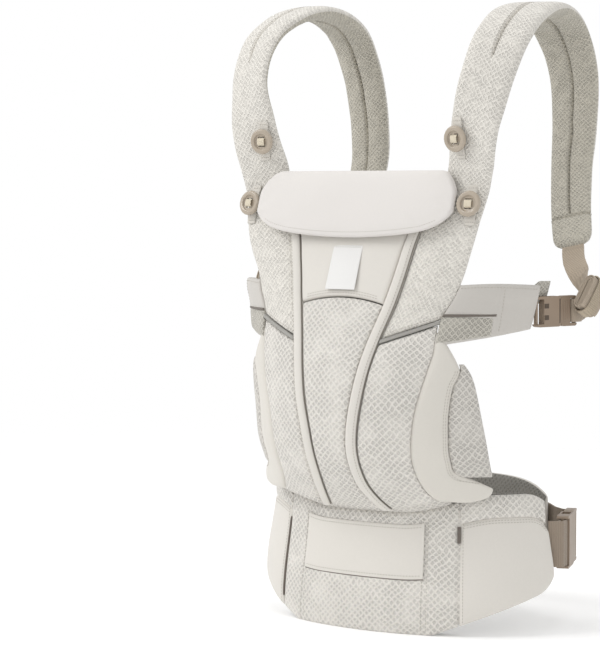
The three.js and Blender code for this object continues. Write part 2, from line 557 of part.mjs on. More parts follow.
// The strap's own directions at share t: along it, across it and out of its outer face.
function strapFrame(t) {
  const at = STRAP_LINE.getPointAt(t), along = STRAP_LINE.getTangentAt(t);
  const yaw = THREE.MathUtils.degToRad(strapYaw(t));
  const across = new THREE.Vector3(Math.cos(yaw), Math.sin(yaw), 0);
  across.addScaledVector(along, -across.dot(along)).normalize();
  return { at, along, across, out: across.clone().cross(along) };
}
function strapPoint(t, u, w, lift = 0) {
  const { at, across, out } = strapFrame(t), side = 2 * u - 1;
  at.z += lift * THREE.MathUtils.smoothstep(at.z, 500, 680);
  const thick = strapThick(t) * (1 - 0.45 * side ** 4);
  return at.clone().addScaledVector(across, side * strapHalfWidth(t)).addScaledVector(out, thick * (w - 0.5));
}
const mirrored = (p, sign) => new THREE.Vector3(sign * p.x, p.y, p.z);

function makeStraps() {
  for (const [side, sign] of SIDES) {
    add("strap_" + side, sheet([0, 0.12, 0.5, 0.88, 1], 26,
      (u, v, w) => mirrored(strapPoint(v, u, w, STRAP_LIFT[side]), sign)), "mesh");
    makeButtons(side, sign);
    makeShoulderBuckle(side, sign);
  }
}

// The strap's outer face at a height on its front run: the point and the direction out of it.
function strapFace(x, z) {
  if (z < STRAP_SPLIT + 10) {
    const at = new THREE.Vector3();
    let reach = x;
    for (let pass = 0; pass < 8; pass += 1) reach += x - onPanel(reach, z, 0).x;
    at.copy(onPanel(reach, z, 1));
    return { at, out: onPanel(reach, z, 2).sub(at).normalize() };
  }
  let t = 0.02;
  for (let pass = 0; pass < 30; pass += 1) t = Math.max(0, t + (z - strapFrame(t).at.z) / 1200);
  const frame = strapFrame(t), u = 0.5 + (x - frame.at.x) / (2 * strapHalfWidth(t) * frame.across.x);
  return { at: strapPoint(t, u, 1), out: frame.out };
}

// A round button with a raised rim, a dished middle and two slots for its tape.
function buttonGeometry() {
  const rim = BUTTON_RADIUS, dish = BUTTON_DISH, t = BUTTON_THICKNESS;
  const profile = [[0, 0], [rim - 1.5, 0], [rim, 1.5], [rim, t - 1.5], [rim - 1.5, t], [dish + 0.8, t],
    [dish, t - 2], [0, t - 2]].map(([r, y]) => new THREE.Vector2(r, y));
  const disc = solidOf(new THREE.LatheGeometry(profile, 20).rotateX(Math.PI / 2));
  const slot = (y) => block([-4.2, y - 1.2, -1], [4.2, y + 1.2, t + 1]);
  return geometryOf(disc.subtract(slot(4.3)).subtract(slot(-4.3)));
}

function makeButtons(side, sign) {
  // The tape runs down the strap behind both buttons.
  const face = (z) => {
    const share = (z - BUTTONS.lower.z) / (BUTTONS.upper.z - BUTTONS.lower.z);
    return strapFace(mix(BUTTONS.lower.x, BUTTONS.upper.x, share), z);
  };
  add("button_tape_" + side, sheet(1, 9, (u, v, w) => {
    const { at, out } = face(mix(TAPE_TOP, TAPE_FOOT, v));
    const across = new THREE.Vector3(0, 0, 1).cross(out).normalize();
    return mirrored(at.addScaledVector(across, (u - 0.5) * TAPE_WIDTH)
      .addScaledVector(out, 1.4 + TAPE_THICKNESS * w), sign);
  }), "plain");
  for (const [level, { x, z }] of Object.entries(BUTTONS)) {
    const { at, out } = strapFace(x, z), normal = mirrored(out, sign);
    const across = new THREE.Vector3().crossVectors(UP, normal).normalize();
    const up = normal.clone().cross(across), lift = BUTTON_STANDOFF;
    const frame = placed(mirrored(at.addScaledVector(out, lift), sign), across, up, normal);
    add("button_" + level + "_" + side, buttonGeometry(), "button", frame);
  }
}

function makeShoulderBuckle(side, sign) {
  const z = WING_BUCKLE_HEIGHT;
  const end = onWing(WING_REACH, z, -WING_PAD / 2), before = onWing(WING_REACH - 8, z, -WING_PAD / 2);
  const pull = end.clone().sub(before).normalize(), made = buckleParts(SHOULDER_WEB);
  const mouth = end.clone().addScaledVector(pull, 1.5 - made.socketBar + BAR_HALF);
  const flip = (v) => mirrored(v, sign), out = pull.clone().cross(UP);
  addBuckle("shoulder", "_" + side, made, placed(flip(mouth), flip(pull), UP, flip(pull).cross(UP)));
  // Webbing from the strap's end, down and round behind the plug to the plug's bar.
  const turn = barTurn(9).reverse().map(([x, y]) => mouth.clone()
    .addScaledVector(pull, made.plugBar + x).addScaledVector(out, y));
  const last = strapFrame(1), leave = last.at.clone().addScaledVector(last.along, 1.2);
  const heel = turn[0].clone().addScaledVector(pull, 14).addScaledVector(UP, 16).addScaledVector(out, -4);
  const points = [leave, leave.clone().addScaledVector(last.along, 16), heel, ...turn];
  const across = (v) => {
    const share = THREE.MathUtils.smoothstep(v, 0.08, 0.5);
    return last.across.clone().multiplyScalar(1 - share).addScaledVector(UP, share)
      .addScaledVector(pull, 0.8 * share * (1 - share));
  };
  const webbing = ribbon(points.map(flip), "end", 10, SHOULDER_WEB, (v) => flip(across(v)));
  add("strap_webbing_" + side, webbing, "webbing");
  // The spare webbing, rolled up and held by an elastic loop, sits outside the plug.
  const spot = mouth.clone().addScaledVector(pull, made.plugBar + 9).addScaledVector(out, 17)
    .addScaledVector(UP, 15);
  const slant = pull.clone().multiplyScalar(0.55).addScaledVector(UP, 0.83).normalize();
  const seat = placed(flip(spot), flip(slant), flip(out), flip(slant).cross(flip(out)));
  const roll = racetrack(ROLL_HALF, ROLL_RADIUS), inner = ROLL_RADIUS + 0.5;
  const band = racetrack(ROLL_HALF, inner + 1.3);
  band.holes.push(racetrack(ROLL_HALF, inner));
  add("webbing_roll_" + side, extruded(roll, SHOULDER_WEB), "webbing", seat);
  add("roll_elastic_" + side, extruded(band, ELASTIC_WIDTH), "webbing", seat);
}

// A shape with two straight sides and round ends, and a slab of it centred on its own plane.
function racetrack(half, radius) {
  const shape = new THREE.Shape();
  shape.moveTo(half, -radius);
  shape.absarc(half, 0, radius, -Math.PI / 2, Math.PI / 2);
  shape.absarc(-half, 0, radius, Math.PI / 2, 1.5 * Math.PI);
  return shape;
}
const extruded = (shape, depth) => new THREE.ExtrudeGeometry(shape,
  { depth, bevelEnabled: false, curveSegments: 6 }).translate(0, 0, -depth / 2);

makeBelt();
makeWaistClosure();
makePanel();
makeFlap();
makeStraps();

// The origin is the middle of the footprint, on the ground.
carrier.updateMatrixWorld(true);
const box = new THREE.Box3().setFromObject(carrier, true);
carrier.position.set(0, -(box.min.y + box.max.y) / 2, -box.min.z);

export default carrier;
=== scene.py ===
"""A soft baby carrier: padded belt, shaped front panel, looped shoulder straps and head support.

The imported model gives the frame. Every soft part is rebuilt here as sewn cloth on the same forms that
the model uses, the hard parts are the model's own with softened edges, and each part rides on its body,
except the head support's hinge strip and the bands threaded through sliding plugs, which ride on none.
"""

import json
import logging
import math
from collections.abc import Callable
from dataclasses import dataclass, field
from enum import Enum

import bmesh
import bpy
import numpy as np
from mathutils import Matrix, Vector
from mathutils.bvhtree import BVHTree

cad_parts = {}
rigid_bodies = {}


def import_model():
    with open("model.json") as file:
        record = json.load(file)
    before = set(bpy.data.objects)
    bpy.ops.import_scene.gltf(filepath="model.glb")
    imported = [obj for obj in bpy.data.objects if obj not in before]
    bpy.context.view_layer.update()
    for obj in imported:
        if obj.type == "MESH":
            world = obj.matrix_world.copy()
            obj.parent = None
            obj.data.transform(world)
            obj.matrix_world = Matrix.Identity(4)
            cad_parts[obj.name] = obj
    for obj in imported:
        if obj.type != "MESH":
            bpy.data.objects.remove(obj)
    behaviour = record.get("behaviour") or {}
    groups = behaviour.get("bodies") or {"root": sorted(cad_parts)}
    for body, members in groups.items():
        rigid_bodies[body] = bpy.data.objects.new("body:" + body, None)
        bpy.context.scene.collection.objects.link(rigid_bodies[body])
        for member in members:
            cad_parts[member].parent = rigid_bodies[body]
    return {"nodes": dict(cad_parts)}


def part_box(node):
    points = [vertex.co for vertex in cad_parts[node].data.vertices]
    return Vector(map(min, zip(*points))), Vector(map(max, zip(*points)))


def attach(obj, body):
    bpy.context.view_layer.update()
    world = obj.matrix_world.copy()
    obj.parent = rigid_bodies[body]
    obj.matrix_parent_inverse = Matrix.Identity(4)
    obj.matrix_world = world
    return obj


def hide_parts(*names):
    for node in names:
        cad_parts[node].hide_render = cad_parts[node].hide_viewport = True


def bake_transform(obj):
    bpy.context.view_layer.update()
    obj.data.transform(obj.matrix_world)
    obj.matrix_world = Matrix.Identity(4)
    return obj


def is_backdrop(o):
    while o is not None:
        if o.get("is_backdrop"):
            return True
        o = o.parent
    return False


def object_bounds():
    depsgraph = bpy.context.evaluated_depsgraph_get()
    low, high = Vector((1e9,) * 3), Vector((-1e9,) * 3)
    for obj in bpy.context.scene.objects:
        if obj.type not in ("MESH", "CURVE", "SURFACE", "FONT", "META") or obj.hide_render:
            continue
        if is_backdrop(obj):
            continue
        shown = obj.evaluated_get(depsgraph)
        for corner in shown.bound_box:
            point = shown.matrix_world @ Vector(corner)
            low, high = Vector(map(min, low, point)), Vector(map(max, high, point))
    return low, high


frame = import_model()
CAD_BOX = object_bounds()

log = logging.getLogger("carrier")

MM = 0.001
Array = np.ndarray
Colour = tuple[float, float, float]
ROOT = "root"
UV_NAME = "cloth"


class Side(Enum):
    """The two sides of the carrier, with the sign of X on each."""

    RIGHT = 1
    LEFT = -1

    @property
    def word(self) -> str:
        """The side's name as the model's nodes spell it."""
        return self.name.lower()


# ---- Curves and forms ---------------------------------------------------------------------


@dataclass(frozen=True)
class Course:
    """A smooth value along a line: cubic pieces through chosen points, with their neighbours' slopes."""

    points: tuple[tuple[float, float], ...]

    def __call__(self, t: Array | float) -> Array:
        """The value at t, held constant past both ends.

        Args:
            t: Where along the line.

        Returns:
            The value there, in the shape of t.
        """
        at, value = (np.array(row, float) for row in zip(*self.points))
        last = len(at) - 1
        before = np.maximum(np.arange(last + 1) - 1, 0)
        after = np.minimum(np.arange(last + 1) + 1, last)
        slope = (value[after] - value[before]) / (at[after] - at[before])
        t = np.asarray(t, float)
        i = np.clip(np.searchsorted(at, t, side="right") - 1, 0, last - 1)
        width = at[i + 1] - at[i]
        q = np.clip((t - at[i]) / width, 0.0, 1.0)
        blend = q * q * (3 - 2 * q)
        start, end = q * (1 - q) ** 2, q * q * (q - 1)
        return (value[i] * (1 - blend) + value[i + 1] * blend
                + width * (start * slope[i] + end * slope[i + 1]))


def mix(a: Array | float, b: Array | float, share: Array | float) -> Array:
    """The value a share of the way from a to b."""
    return a + (b - a) * share


def smoothstep(t: Array | float, low: float, high: float) -> Array:
    """0 below low, 1 above high, and a smooth rise between."""
    q = np.clip((np.asarray(t, float) - low) / (high - low), 0.0, 1.0)
    return q * q * (3 - 2 * q)


def points(x: Array, y: Array, z: Array) -> Array:
    """Stacks three arrays of coordinates into an array of points."""
    return np.stack(np.broadcast_arrays(x, y, z), -1).astype(float)


def unit(v: Array) -> Array:
    """Vectors scaled to length one along the last axis."""
    return v / np.maximum(np.linalg.norm(v, axis=-1, keepdims=True), 1e-12)


def grid(across: int, along: int) -> tuple[Array, Array]:
    """Even shares u across and v along, as two arrays of along + 1 rows and across + 1 columns."""
    return np.meshgrid(np.linspace(0, 1, across + 1), np.linspace(0, 1, along + 1))


def rounded(distance: Array, radius: float) -> Array:
    """A quarter circle's rise from 0 at an edge to 1 at one radius in from it."""
    q = 1 - np.clip(distance / radius, 0.0, 1.0)
    return np.sqrt(np.maximum(0.0, 1 - q * q))


def ripple(a: Array, b: Array, size: float, seed: float) -> Array:
    """Soft unevenness between -1 and 1: four crossed sine waves of unlike length and heading."""
    total = np.zeros(np.broadcast(a, b).shape)
    for k in range(4):
        turn, scale = seed * 1.7 + 1.3 * k, 2 * math.pi / (size * (1 + 0.37 * k))
        total = total + np.sin(scale * (a * math.cos(turn) + b * math.sin(turn)) + seed * (k + 2.1))
    return total / 4


@dataclass(frozen=True)
class PanelForm:
    """The front panel's outer face, in millimetres from the belt ring's middle on the ground."""

    wing_radius: float = 126.0
    wing_bend: float = 118.0
    front: Course = Course((
        (130, 125), (148, 147), (167, 164), (195, 179), (221, 185), (256, 187), (288, 183),
        (317, 175), (358, 161), (400, 148), (445, 134), (500, 119)))
    radius: Course = Course((
        (130, 278), (165, 190), (210, 180), (250, 182), (300, 215), (340, 270), (365, 330),
        (400, 510), (450, 1400), (500, 2200)))
    rib: Course = Course((
        (130, 42), (148, 34), (167, 29), (196, 28), (224, 30.5), (259, 37), (291, 43),
        (319, 49.5), (360, 61), (400, 70), (427, 76), (480, 92)))
    strap_edge: Course = Course((
        (320, 118), (345, 120), (364, 130), (396, 141), (427, 149), (459, 155), (475, 156)))
    leg_front: Course = Course((
        (144, 106), (158, 97), (185, 93), (212, 95), (246, 101), (278, 110), (307, 117)))
    leg_seam: Course = Course((
        (165, 172), (173, 141), (192, 136), (219, 137), (246, 139), (272, 143), (293, 149),
        (307, 133)))
    leg_edge: Course = Course((
        (144, 134), (152, 163), (166, 175), (191, 179), (218, 178), (259, 170), (285, 160),
        (307, 141)))

    def point(self, reach: Array, z: Array, bend: float = math.inf) -> Array:
        """A point of the face: an arc in plan, then a tighter one past the bend.

        Args:
            reach: Distance along the cloth from the middle line.
            z: Height.
            bend: The reach at which the cloth starts to curl round the body.

        Returns:
            Points in the shape of reach.
        """
        radius, side = self.radius(z), np.where(reach < 0, -1.0, 1.0)
        held = np.minimum(np.abs(reach), bend)
        turn = held / radius
        more = turn + (np.abs(reach) - held) / self.wing_radius
        x = radius * np.sin(turn) + self.wing_radius * (np.sin(more) - np.sin(turn))
        y = (-self.front(z) + radius * (1 - np.cos(turn))
             + self.wing_radius * (np.cos(turn) - np.cos(more)))
        return points(side * x, y, z)

    def lifted(self, reach: Array, z: Array, out: Array | float, bend: float = math.inf) -> Array:
        """Points moved out of the face along its normal, found from neighbours half a millimetre off."""
        step = 0.5
        da = self.point(reach + step, z, bend) - self.point(reach - step, z, bend)
        db = self.point(reach, z + step, bend) - self.point(reach, z - step, bend)
        normal = unit(np.cross(da, db))
        return self.point(reach, z, bend) + normal * np.asarray(out, float)[..., None]


@dataclass(frozen=True)
class RingForm:
    """The waist belt's oval in plan, in millimetres, and the heights of the belt's edges."""

    half_width: float = 186.0
    half_depth: float = 124.5
    height: float = 131.0
    flare: float = 6.0
    reach_end: float = 225.0
    flat_reach: float = 88.0
    rise: float = 0.37
    side_rise: float = 21.0
    steps: int = 1440

    def _turn(self, reach: Array) -> Array:
        """The oval's angle at a distance along it from the front, from a walked table of lengths."""
        angle = np.linspace(0, math.pi, self.steps + 1)
        walk = np.hypot(np.diff(self.half_width * np.sin(angle)),
                        np.diff(self.half_depth * np.cos(angle)))
        return np.interp(np.abs(reach), np.concatenate([[0.0], np.cumsum(walk)]), angle)

    @property
    def length(self) -> float:
        """The whole way round the oval."""
        angle = np.linspace(0, 2 * math.pi, 2 * self.steps + 1)
        return float(np.hypot(np.diff(self.half_width * np.sin(angle)),
                              np.diff(self.half_depth * np.cos(angle))).sum())

    def point(self, reach: Array, z: Array, out: Array | float = 0.0) -> Array:
        """A point of the oval, moved outwards; reach may run on past the back to the other side."""
        reach = np.asarray(reach, float)
        reach = np.where(reach > self.length / 2, reach - self.length, reach)
        side, turn = np.where(reach < 0, -1.0, 1.0), self._turn(reach)
        nx, ny = np.sin(turn) / self.half_width, -np.cos(turn) / self.half_depth
        norm = np.hypot(nx, ny)
        x = self.half_width * np.sin(turn) + out * nx / norm
        y = -self.half_depth * np.cos(turn) + out * ny / norm
        return points(side * x, y, z)

    def foot(self, reach: Array) -> Array:
        """Height of the belt's lower edge: on the ground in front, then climbing to the sides."""
        return np.maximum(0.0, (np.abs(reach) - self.flat_reach) * self.rise)

    def top(self, reach: Array) -> Array:
        """Height of the belt's upper edge: rising to the sides and falling again at the ends."""
        climb = smoothstep(np.abs(reach), 50, 165) * self.side_rise
        fall = np.maximum(0.0, np.abs(reach) - 195) / 30
        return self.height + climb - 11 * fall * fall

    def out(self, v: Array) -> Array:
        """How far the belt's face stands out of the oval at share v of its height."""
        return self.flare * np.cos(math.pi * np.asarray(v, float))


@dataclass(frozen=True)
class StrapForm:
    """The right shoulder strap's middle line, widths and turn, in millimetres."""

    line: tuple[tuple[float, float, float], ...] = (
        (133, -111, 480), (136, -113, 505), (141, -118, 528), (147, -120, 556), (156, -113, 600),
        (158, -86, 642), (153, -36, 670), (148, 14, 676), (144, 60, 658), (143, 92, 612),
        (139, 102, 552), (138, 98, 503), (147, 82, 455), (162, 60, 417))
    half_width: Course = Course((
        (0, 31), (0.12, 30), (0.19, 29.5), (0.27, 31), (0.4, 33.5), (0.5, 33.5), (0.65, 30),
        (0.8, 27), (1, 22.5)))
    yaw: Course = Course((
        (0, -8), (0.03, -9), (0.115, -2), (0.19, 16), (0.3, 20), (0.4, 18), (0.6, 8),
        (0.85, 2), (1, 8)))
    thickness: Course = Course(((0, 8), (0.06, 11), (0.2, 15), (0.8, 15), (1, 10)))

    def frame_at(self, t: Array) -> tuple[Array, Array, Array, Array]:
        """The strap's place and directions.

        Args:
            t: Shares of the line's length.

        Returns:
            Points on the middle line, and directions along it, across it and out of its outer face.
        """
        knots, samples = np.array(self.line, float), np.linspace(0, 1, 801)
        at = catmull_rom(knots, samples)
        walk = np.concatenate([[0.0], np.cumsum(np.linalg.norm(np.diff(at, axis=0), axis=1))])
        share = walk / walk[-1]
        along = unit(np.gradient(at, axis=0))
        place = np.stack([np.interp(t, share, at[:, k]) for k in range(3)], -1)
        along = unit(np.stack([np.interp(t, share, along[:, k]) for k in range(3)], -1))
        place = place + along * (np.minimum(t, 0.0) * walk[-1])[..., None]
        yaw = np.radians(self.yaw(t))
        across = points(np.cos(yaw), np.sin(yaw), np.zeros_like(yaw))
        across = unit(across - along * np.sum(across * along, -1, keepdims=True))
        return place, along, across, np.cross(across, along)

    @property
    def length(self) -> float:
        """The middle line's length."""
        at = catmull_rom(np.array(self.line, float), np.linspace(0, 1, 801))
        return float(np.linalg.norm(np.diff(at, axis=0), axis=1).sum())


def catmull_rom(knots: Array, t: Array) -> Array:
    """Points on a centripetal Catmull-Rom curve, the kind that keeps clear of loops and overshoot.

    Args:
        knots: The points it passes through, in order.
        t: Shares of the knots' count, from 0 to 1.

    Returns:
        One point for each t.
    """
    first, last = 2 * knots[0] - knots[1], 2 * knots[-1] - knots[-2]
    p = np.vstack([first, knots, last])
    where = np.clip(t, 0, 1) * (len(knots) - 1)
    i = np.minimum(where.astype(int), len(knots) - 2)
    w = (where - i)[:, None]
    p0, p1, p2, p3 = p[i], p[i + 1], p[i + 2], p[i + 3]
    d0, d1, d2 = (np.maximum(np.linalg.norm(b - a, axis=1, keepdims=True) ** 0.5, 1e-4)
                  for a, b in ((p0, p1), (p1, p2), (p2, p3)))
    m1 = ((p1 - p0) / d0 - (p2 - p0) / (d0 + d1) + (p2 - p1) / d1) * d1
    m2 = ((p2 - p1) / d1 - (p3 - p1) / (d1 + d2) + (p3 - p2) / d2) * d1
    w2, w3 = w * w, w * w * w
    return ((2 * w3 - 3 * w2 + 1) * p1 + (w3 - 2 * w2 + w) * m1
            + (3 * w2 - 2 * w3) * p2 + (w3 - w2) * m2)


PANEL, RING, STRAP = PanelForm(), RingForm(), StrapForm()
# The belt's front cover reaches this far in front of the ring's middle, which places the middle.
RING_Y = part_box("belt_front_cover")[0].y + (RING.half_depth + RING.flare * math.cos(0.12 * math.pi)) * MM


def placed(p: Array) -> Array:
    """Points in millimetres from the ring's middle, as metres in the model's frame."""
    return p * MM + np.array([0.0, RING_Y, 0.0])


def flipped(p: Array, side: Side) -> Array:
    """Points of a right-hand part, on the side asked for."""
    return p * np.array([side.value, 1.0, 1.0])


# ---- Shader maths -------------------------------------------------------------------------


class Signal:
    """A number that changes over a surface: a socket with arithmetic that adds Math nodes."""

    def __init__(self, bench: "Bench", socket: bpy.types.NodeSocket) -> None:
        """Wraps a socket of the bench's material."""
        self.bench, self.socket = bench, socket

    def _math(self, operation: str, *values: "Signal | float") -> "Signal":
        """One Math node."""
        return self.bench.node("ShaderNodeMath", {"operation": operation}, dict(enumerate(values)))

    def __add__(self, other: "Signal | float") -> "Signal":
        """Sum."""
        return self._math("ADD", self, other)

    def __sub__(self, other: "Signal | float") -> "Signal":
        """Difference."""
        return self._math("SUBTRACT", self, other)

    def __rsub__(self, other: float) -> "Signal":
        """Difference from a number."""
        return self._math("SUBTRACT", other, self)

    def __mul__(self, other: "Signal | float") -> "Signal":
        """Product."""
        return self._math("MULTIPLY", self, other)

    def __truediv__(self, other: "Signal | float") -> "Signal":
        """Quotient."""
        return self._math("DIVIDE", self, other)

    def __abs__(self) -> "Signal":
        """Size without sign."""
        return self._math("ABSOLUTE", self)

    __radd__ = __add__
    __rmul__ = __mul__

    def sine(self) -> "Signal":
        """Sine of the value in radians."""
        return self._math("SINE", self)

    def fraction(self) -> "Signal":
        """What is past the last whole number."""
        return self._math("FRACT", self)

    def least(self, other: "Signal | float") -> "Signal":
        """The smaller of two."""
        return self._math("MINIMUM", self, other)

    def step(self, low: float, high: float) -> "Signal":
        """0 below low, 1 above high, smooth between."""
        settings = {"interpolation_type": "SMOOTHSTEP"}
        return self.bench.node("ShaderNodeMapRange", settings, {"Value": self, 1: low, 2: high})


class Bench:
    """Builds one material."""

    def __init__(self, name: str) -> None:
        """Starts an empty material with an output and a Principled shader."""
        self.material = bpy.data.materials.new(name)
        self.material.use_nodes = True
        self.tree = self.material.node_tree
        self.tree.nodes.clear()
        self.output = self.tree.nodes.new("ShaderNodeOutputMaterial")
        self.shader = self.tree.nodes.new("ShaderNodeBsdfPrincipled")
        self.tree.links.new(self.shader.outputs[0], self.output.inputs["Surface"])

    def feed(self, socket: bpy.types.NodeSocket, value: object) -> None:
        """Links a signal to a socket, or sets the socket's own value."""
        if isinstance(value, Signal):
            self.tree.links.new(value.socket, socket)
        elif isinstance(value, tuple) and len(value) == 3 and socket.type == "RGBA":
            socket.default_value = (*value, 1.0)
        else:
            socket.default_value = value

    def node(self, kind: str, settings: dict | None = None, inputs: dict | None = None,
             output: int | str = 0) -> Signal:
        """Adds a node.

        Args:
            kind: The node's type.
            settings: Properties of the node, set first.
            inputs: Values or signals by socket name or number.
            output: Which output to return.

        Returns:
            The chosen output.
        """
        made = self.tree.nodes.new(kind)
        for key, value in (settings or {}).items():
            setattr(made, key, value)
        for key, value in (inputs or {}).items():
            self.feed(made.inputs[key], value)
        return Signal(self, made.outputs[output])

    def set(self, **values: object) -> None:
        """Sets or feeds the shader's sockets, named with _ for each space."""
        for key, value in values.items():
            self.feed(self.shader.inputs[key.replace("_", " ")], value)

    def colours(self, low: Colour | Signal, high: Colour | Signal, share: Signal | float) -> Signal:
        """A colour a share of the way from one to another."""
        inputs = {0: share, 6: low, 7: high}
        return self.node("ShaderNodeMix", {"data_type": "RGBA"}, inputs, 2)

    def cloth(self) -> tuple[Signal, Signal]:
        """Distances across and along the cloth, in millimetres, from the piece's own map."""
        uv = self.node("ShaderNodeUVMap", {"uv_map": UV_NAME})
        split = self.node("ShaderNodeSeparateXYZ", None, {0: uv})
        nodes = split.socket.node.outputs
        return Signal(self, nodes[0]) * 1000.0, Signal(self, nodes[1]) * 1000.0

    def solid(self) -> Signal:
        """The point in the object's own space."""
        return self.node("ShaderNodeTexCoord", None, None, "Object")

    def noise(self, scale: float, detail: float = 2.0, roughness: float = 0.5) -> Signal:
        """Cloudy unevenness in the object's space, scale in waves per metre."""
        inputs = {"Vector": self.solid(), "Scale": scale, "Detail": detail, "Roughness": roughness}
        return self.node("ShaderNodeTexNoise", None, inputs, "Fac")

    def bump(self, height: Signal, distance: float, strength: float = 1.0) -> None:
        """Feeds a height, in units of distance in metres, to the shader's normal."""
        inputs = {"Height": height, "Distance": distance, "Strength": strength}
        self.set(Normal=self.node("ShaderNodeBump", None, inputs))


def linear(r: int, g: int, b: int) -> Colour:
    """A colour given in display steps of 0 to 255, as linear light."""
    steps = (c / 255 for c in (r, g, b))
    return tuple(c / 12.92 if c <= 0.04045 else ((c + 0.055) / 1.055) ** 2.4 for c in steps)


def shade(colour: Colour, share: float) -> Colour:
    """A colour made darker or lighter by a factor."""
    return tuple(min(1.0, c * share) for c in colour)


# ---- Finishes -----------------------------------------------------------------------------


@dataclass(frozen=True)
class AirMesh:
    """A spacer knit with rows of staggered diamond dimples between raised crossing bars."""

    name: str
    colour: Colour
    pitch: float = 7.4
    hole: float = 0.69
    relief: float = 1.3
    wander: float = 1.2
    fade: float = 0.55

    def make(self) -> bpy.types.Material:
        """Builds the material: bars run along both diagonals, and noise keeps them from being exact."""
        bench = Bench(self.name)
        across, along = bench.cloth()
        drift = (bench.noise(70.0, 2.0) - 0.5) * self.wander
        rise, fall = (across + along) / self.pitch + drift, (across - along) / self.pitch - drift
        bar = abs((rise * math.pi).sine()).least(abs((fall * math.pi).sine()))
        patchiness_and_edge_highlight = bench.noise(38.0, 2.0).step(0.3, 0.6) * (1 - self.fade) + self.fade
        open_part = bar.step(0.34, 0.9) * patchiness_and_edge_highlight
        yarn = bench.noise(1100.0, 3.0, 0.65)
        cloud = bench.noise(14.0, 3.0)
        light = bench.colours(shade(self.colour, 0.95), shade(self.colour, 1.05), cloud)
        deep = bench.colours(shade(self.colour, self.hole), shade(self.colour, self.hole * 1.16), yarn)
        fleck = bench.colours(shade(self.colour, 0.82), light, yarn.step(0.34, 0.56))
        bench.set(Base_Color=bench.colours(fleck, deep, open_part), Roughness=0.9 + (yarn - 0.5) * 0.1,
                  Sheen_Weight=0.25, Sheen_Roughness=0.5, Specular_IOR_Level=0.25)
        bench.bump(yarn * 0.3 - open_part, self.relief * MM)
        return bench.material


@dataclass(frozen=True)
class FineKnit:
    """A tight knit with small uneven dimples."""

    name: str
    colour: Colour
    pitch: float = 5.8
    hole: float = 0.78
    relief: float = 1.0

    def make(self) -> bpy.types.Material:
        """Builds the material: short diagonal cells broken up by noise of the same size."""
        bench = Bench(self.name)
        across, along = bench.cloth()
        drift = (bench.noise(120.0, 2.0) - 0.5) * 1.4
        rise, fall = (across + along) / self.pitch + drift, (across - along) / self.pitch - drift
        bar = abs((rise * math.pi).sine()).least(abs((fall * math.pi).sine()))
        patchy = bench.noise(120.0, 2.0).step(0.3, 0.65)
        open_part = bar.step(0.36, 0.92) * (patchy * 0.5 + 0.5)
        yarn, cloud = bench.noise(900.0, 3.0, 0.65), bench.noise(16.0, 3.0)
        tone = bench.colours(shade(self.colour, 0.95), shade(self.colour, 1.04), cloud)
        light = bench.colours(shade(self.colour, 0.78), tone, yarn.step(0.34, 0.58))
        bench.set(Base_Color=bench.colours(light, shade(self.colour, self.hole), open_part),
                  Roughness=0.9 + (yarn - 0.5) * 0.1, Sheen_Weight=0.25, Sheen_Roughness=0.5,
                  Specular_IOR_Level=0.25)
        bench.bump(yarn * 0.45 - open_part, self.relief * MM)
        return bench.material


@dataclass(frozen=True)
class PlainWeave:
    """A smooth close weave: over and under threads too fine to count, with slubs and faint creases."""

    name: str
    colour: Colour
    thread: float = 0.9
    slub: float = 0.05
    crease: float = 0.35

    def make(self) -> bpy.types.Material:
        """Builds the material: the threads are two crossed sine waves, and stretched noise the slubs."""
        bench = Bench(self.name)
        across, along = bench.cloth()
        warp = (across * (2 * math.pi / self.thread)).sine()
        weft = (along * (2 * math.pi / self.thread)).sine()
        weave = warp * weft * 0.5 + 0.5
        slub = bench.noise(420.0, 3.0, 0.6)
        cloud, fold = bench.noise(11.0, 3.0), bench.noise(45.0, 2.0, 0.4)
        tone = bench.colours(shade(self.colour, 0.955), shade(self.colour, 1.035), cloud)
        thread = bench.colours(tone, shade(self.colour, 1 - 2 * self.slub), weave * slub)
        bench.set(Base_Color=thread, Roughness=0.86 + (slub - 0.5) * 0.12, Sheen_Weight=0.3,
                  Sheen_Roughness=0.45, Specular_IOR_Level=0.3)
        bench.bump(weave * 0.12 + slub * 0.2 + fold * self.crease * 3.0, 0.5 * MM)
        return bench.material


@dataclass(frozen=True)
class RibbedWebbing:
    """Woven webbing: ribs across its width, a herringbone of threads and firm selvedges."""

    name: str
    colour: Colour
    rib: float = 1.5
    depth: float = 0.3

    def make(self) -> bpy.types.Material:
        """Builds the material: ribs are a sine along the length, threads a finer slanted one."""
        bench = Bench(self.name)
        across, along = bench.cloth()
        ribs = (along * (2 * math.pi / self.rib)).sine() * 0.5 + 0.5
        slant = abs((across * 1.1).fraction() - 0.5) * 2.0
        thread = ((along + slant) * (2 * math.pi / 0.8)).sine() * 0.5 + 0.5
        cloud, fuzz = bench.noise(30.0, 3.0), bench.noise(900.0, 2.0)
        tone = bench.colours(shade(self.colour, 0.88), shade(self.colour, 1.1), cloud)
        bench.set(Base_Color=bench.colours(shade(self.colour, 0.7), tone, ribs * 0.6 + thread * 0.4),
                  Roughness=0.72 + (fuzz - 0.5) * 0.15, Sheen_Weight=0.15, Specular_IOR_Level=0.35)
        bench.bump(ribs * 0.7 + thread * 0.3 + fuzz * 0.2, self.depth * MM)
        return bench.material


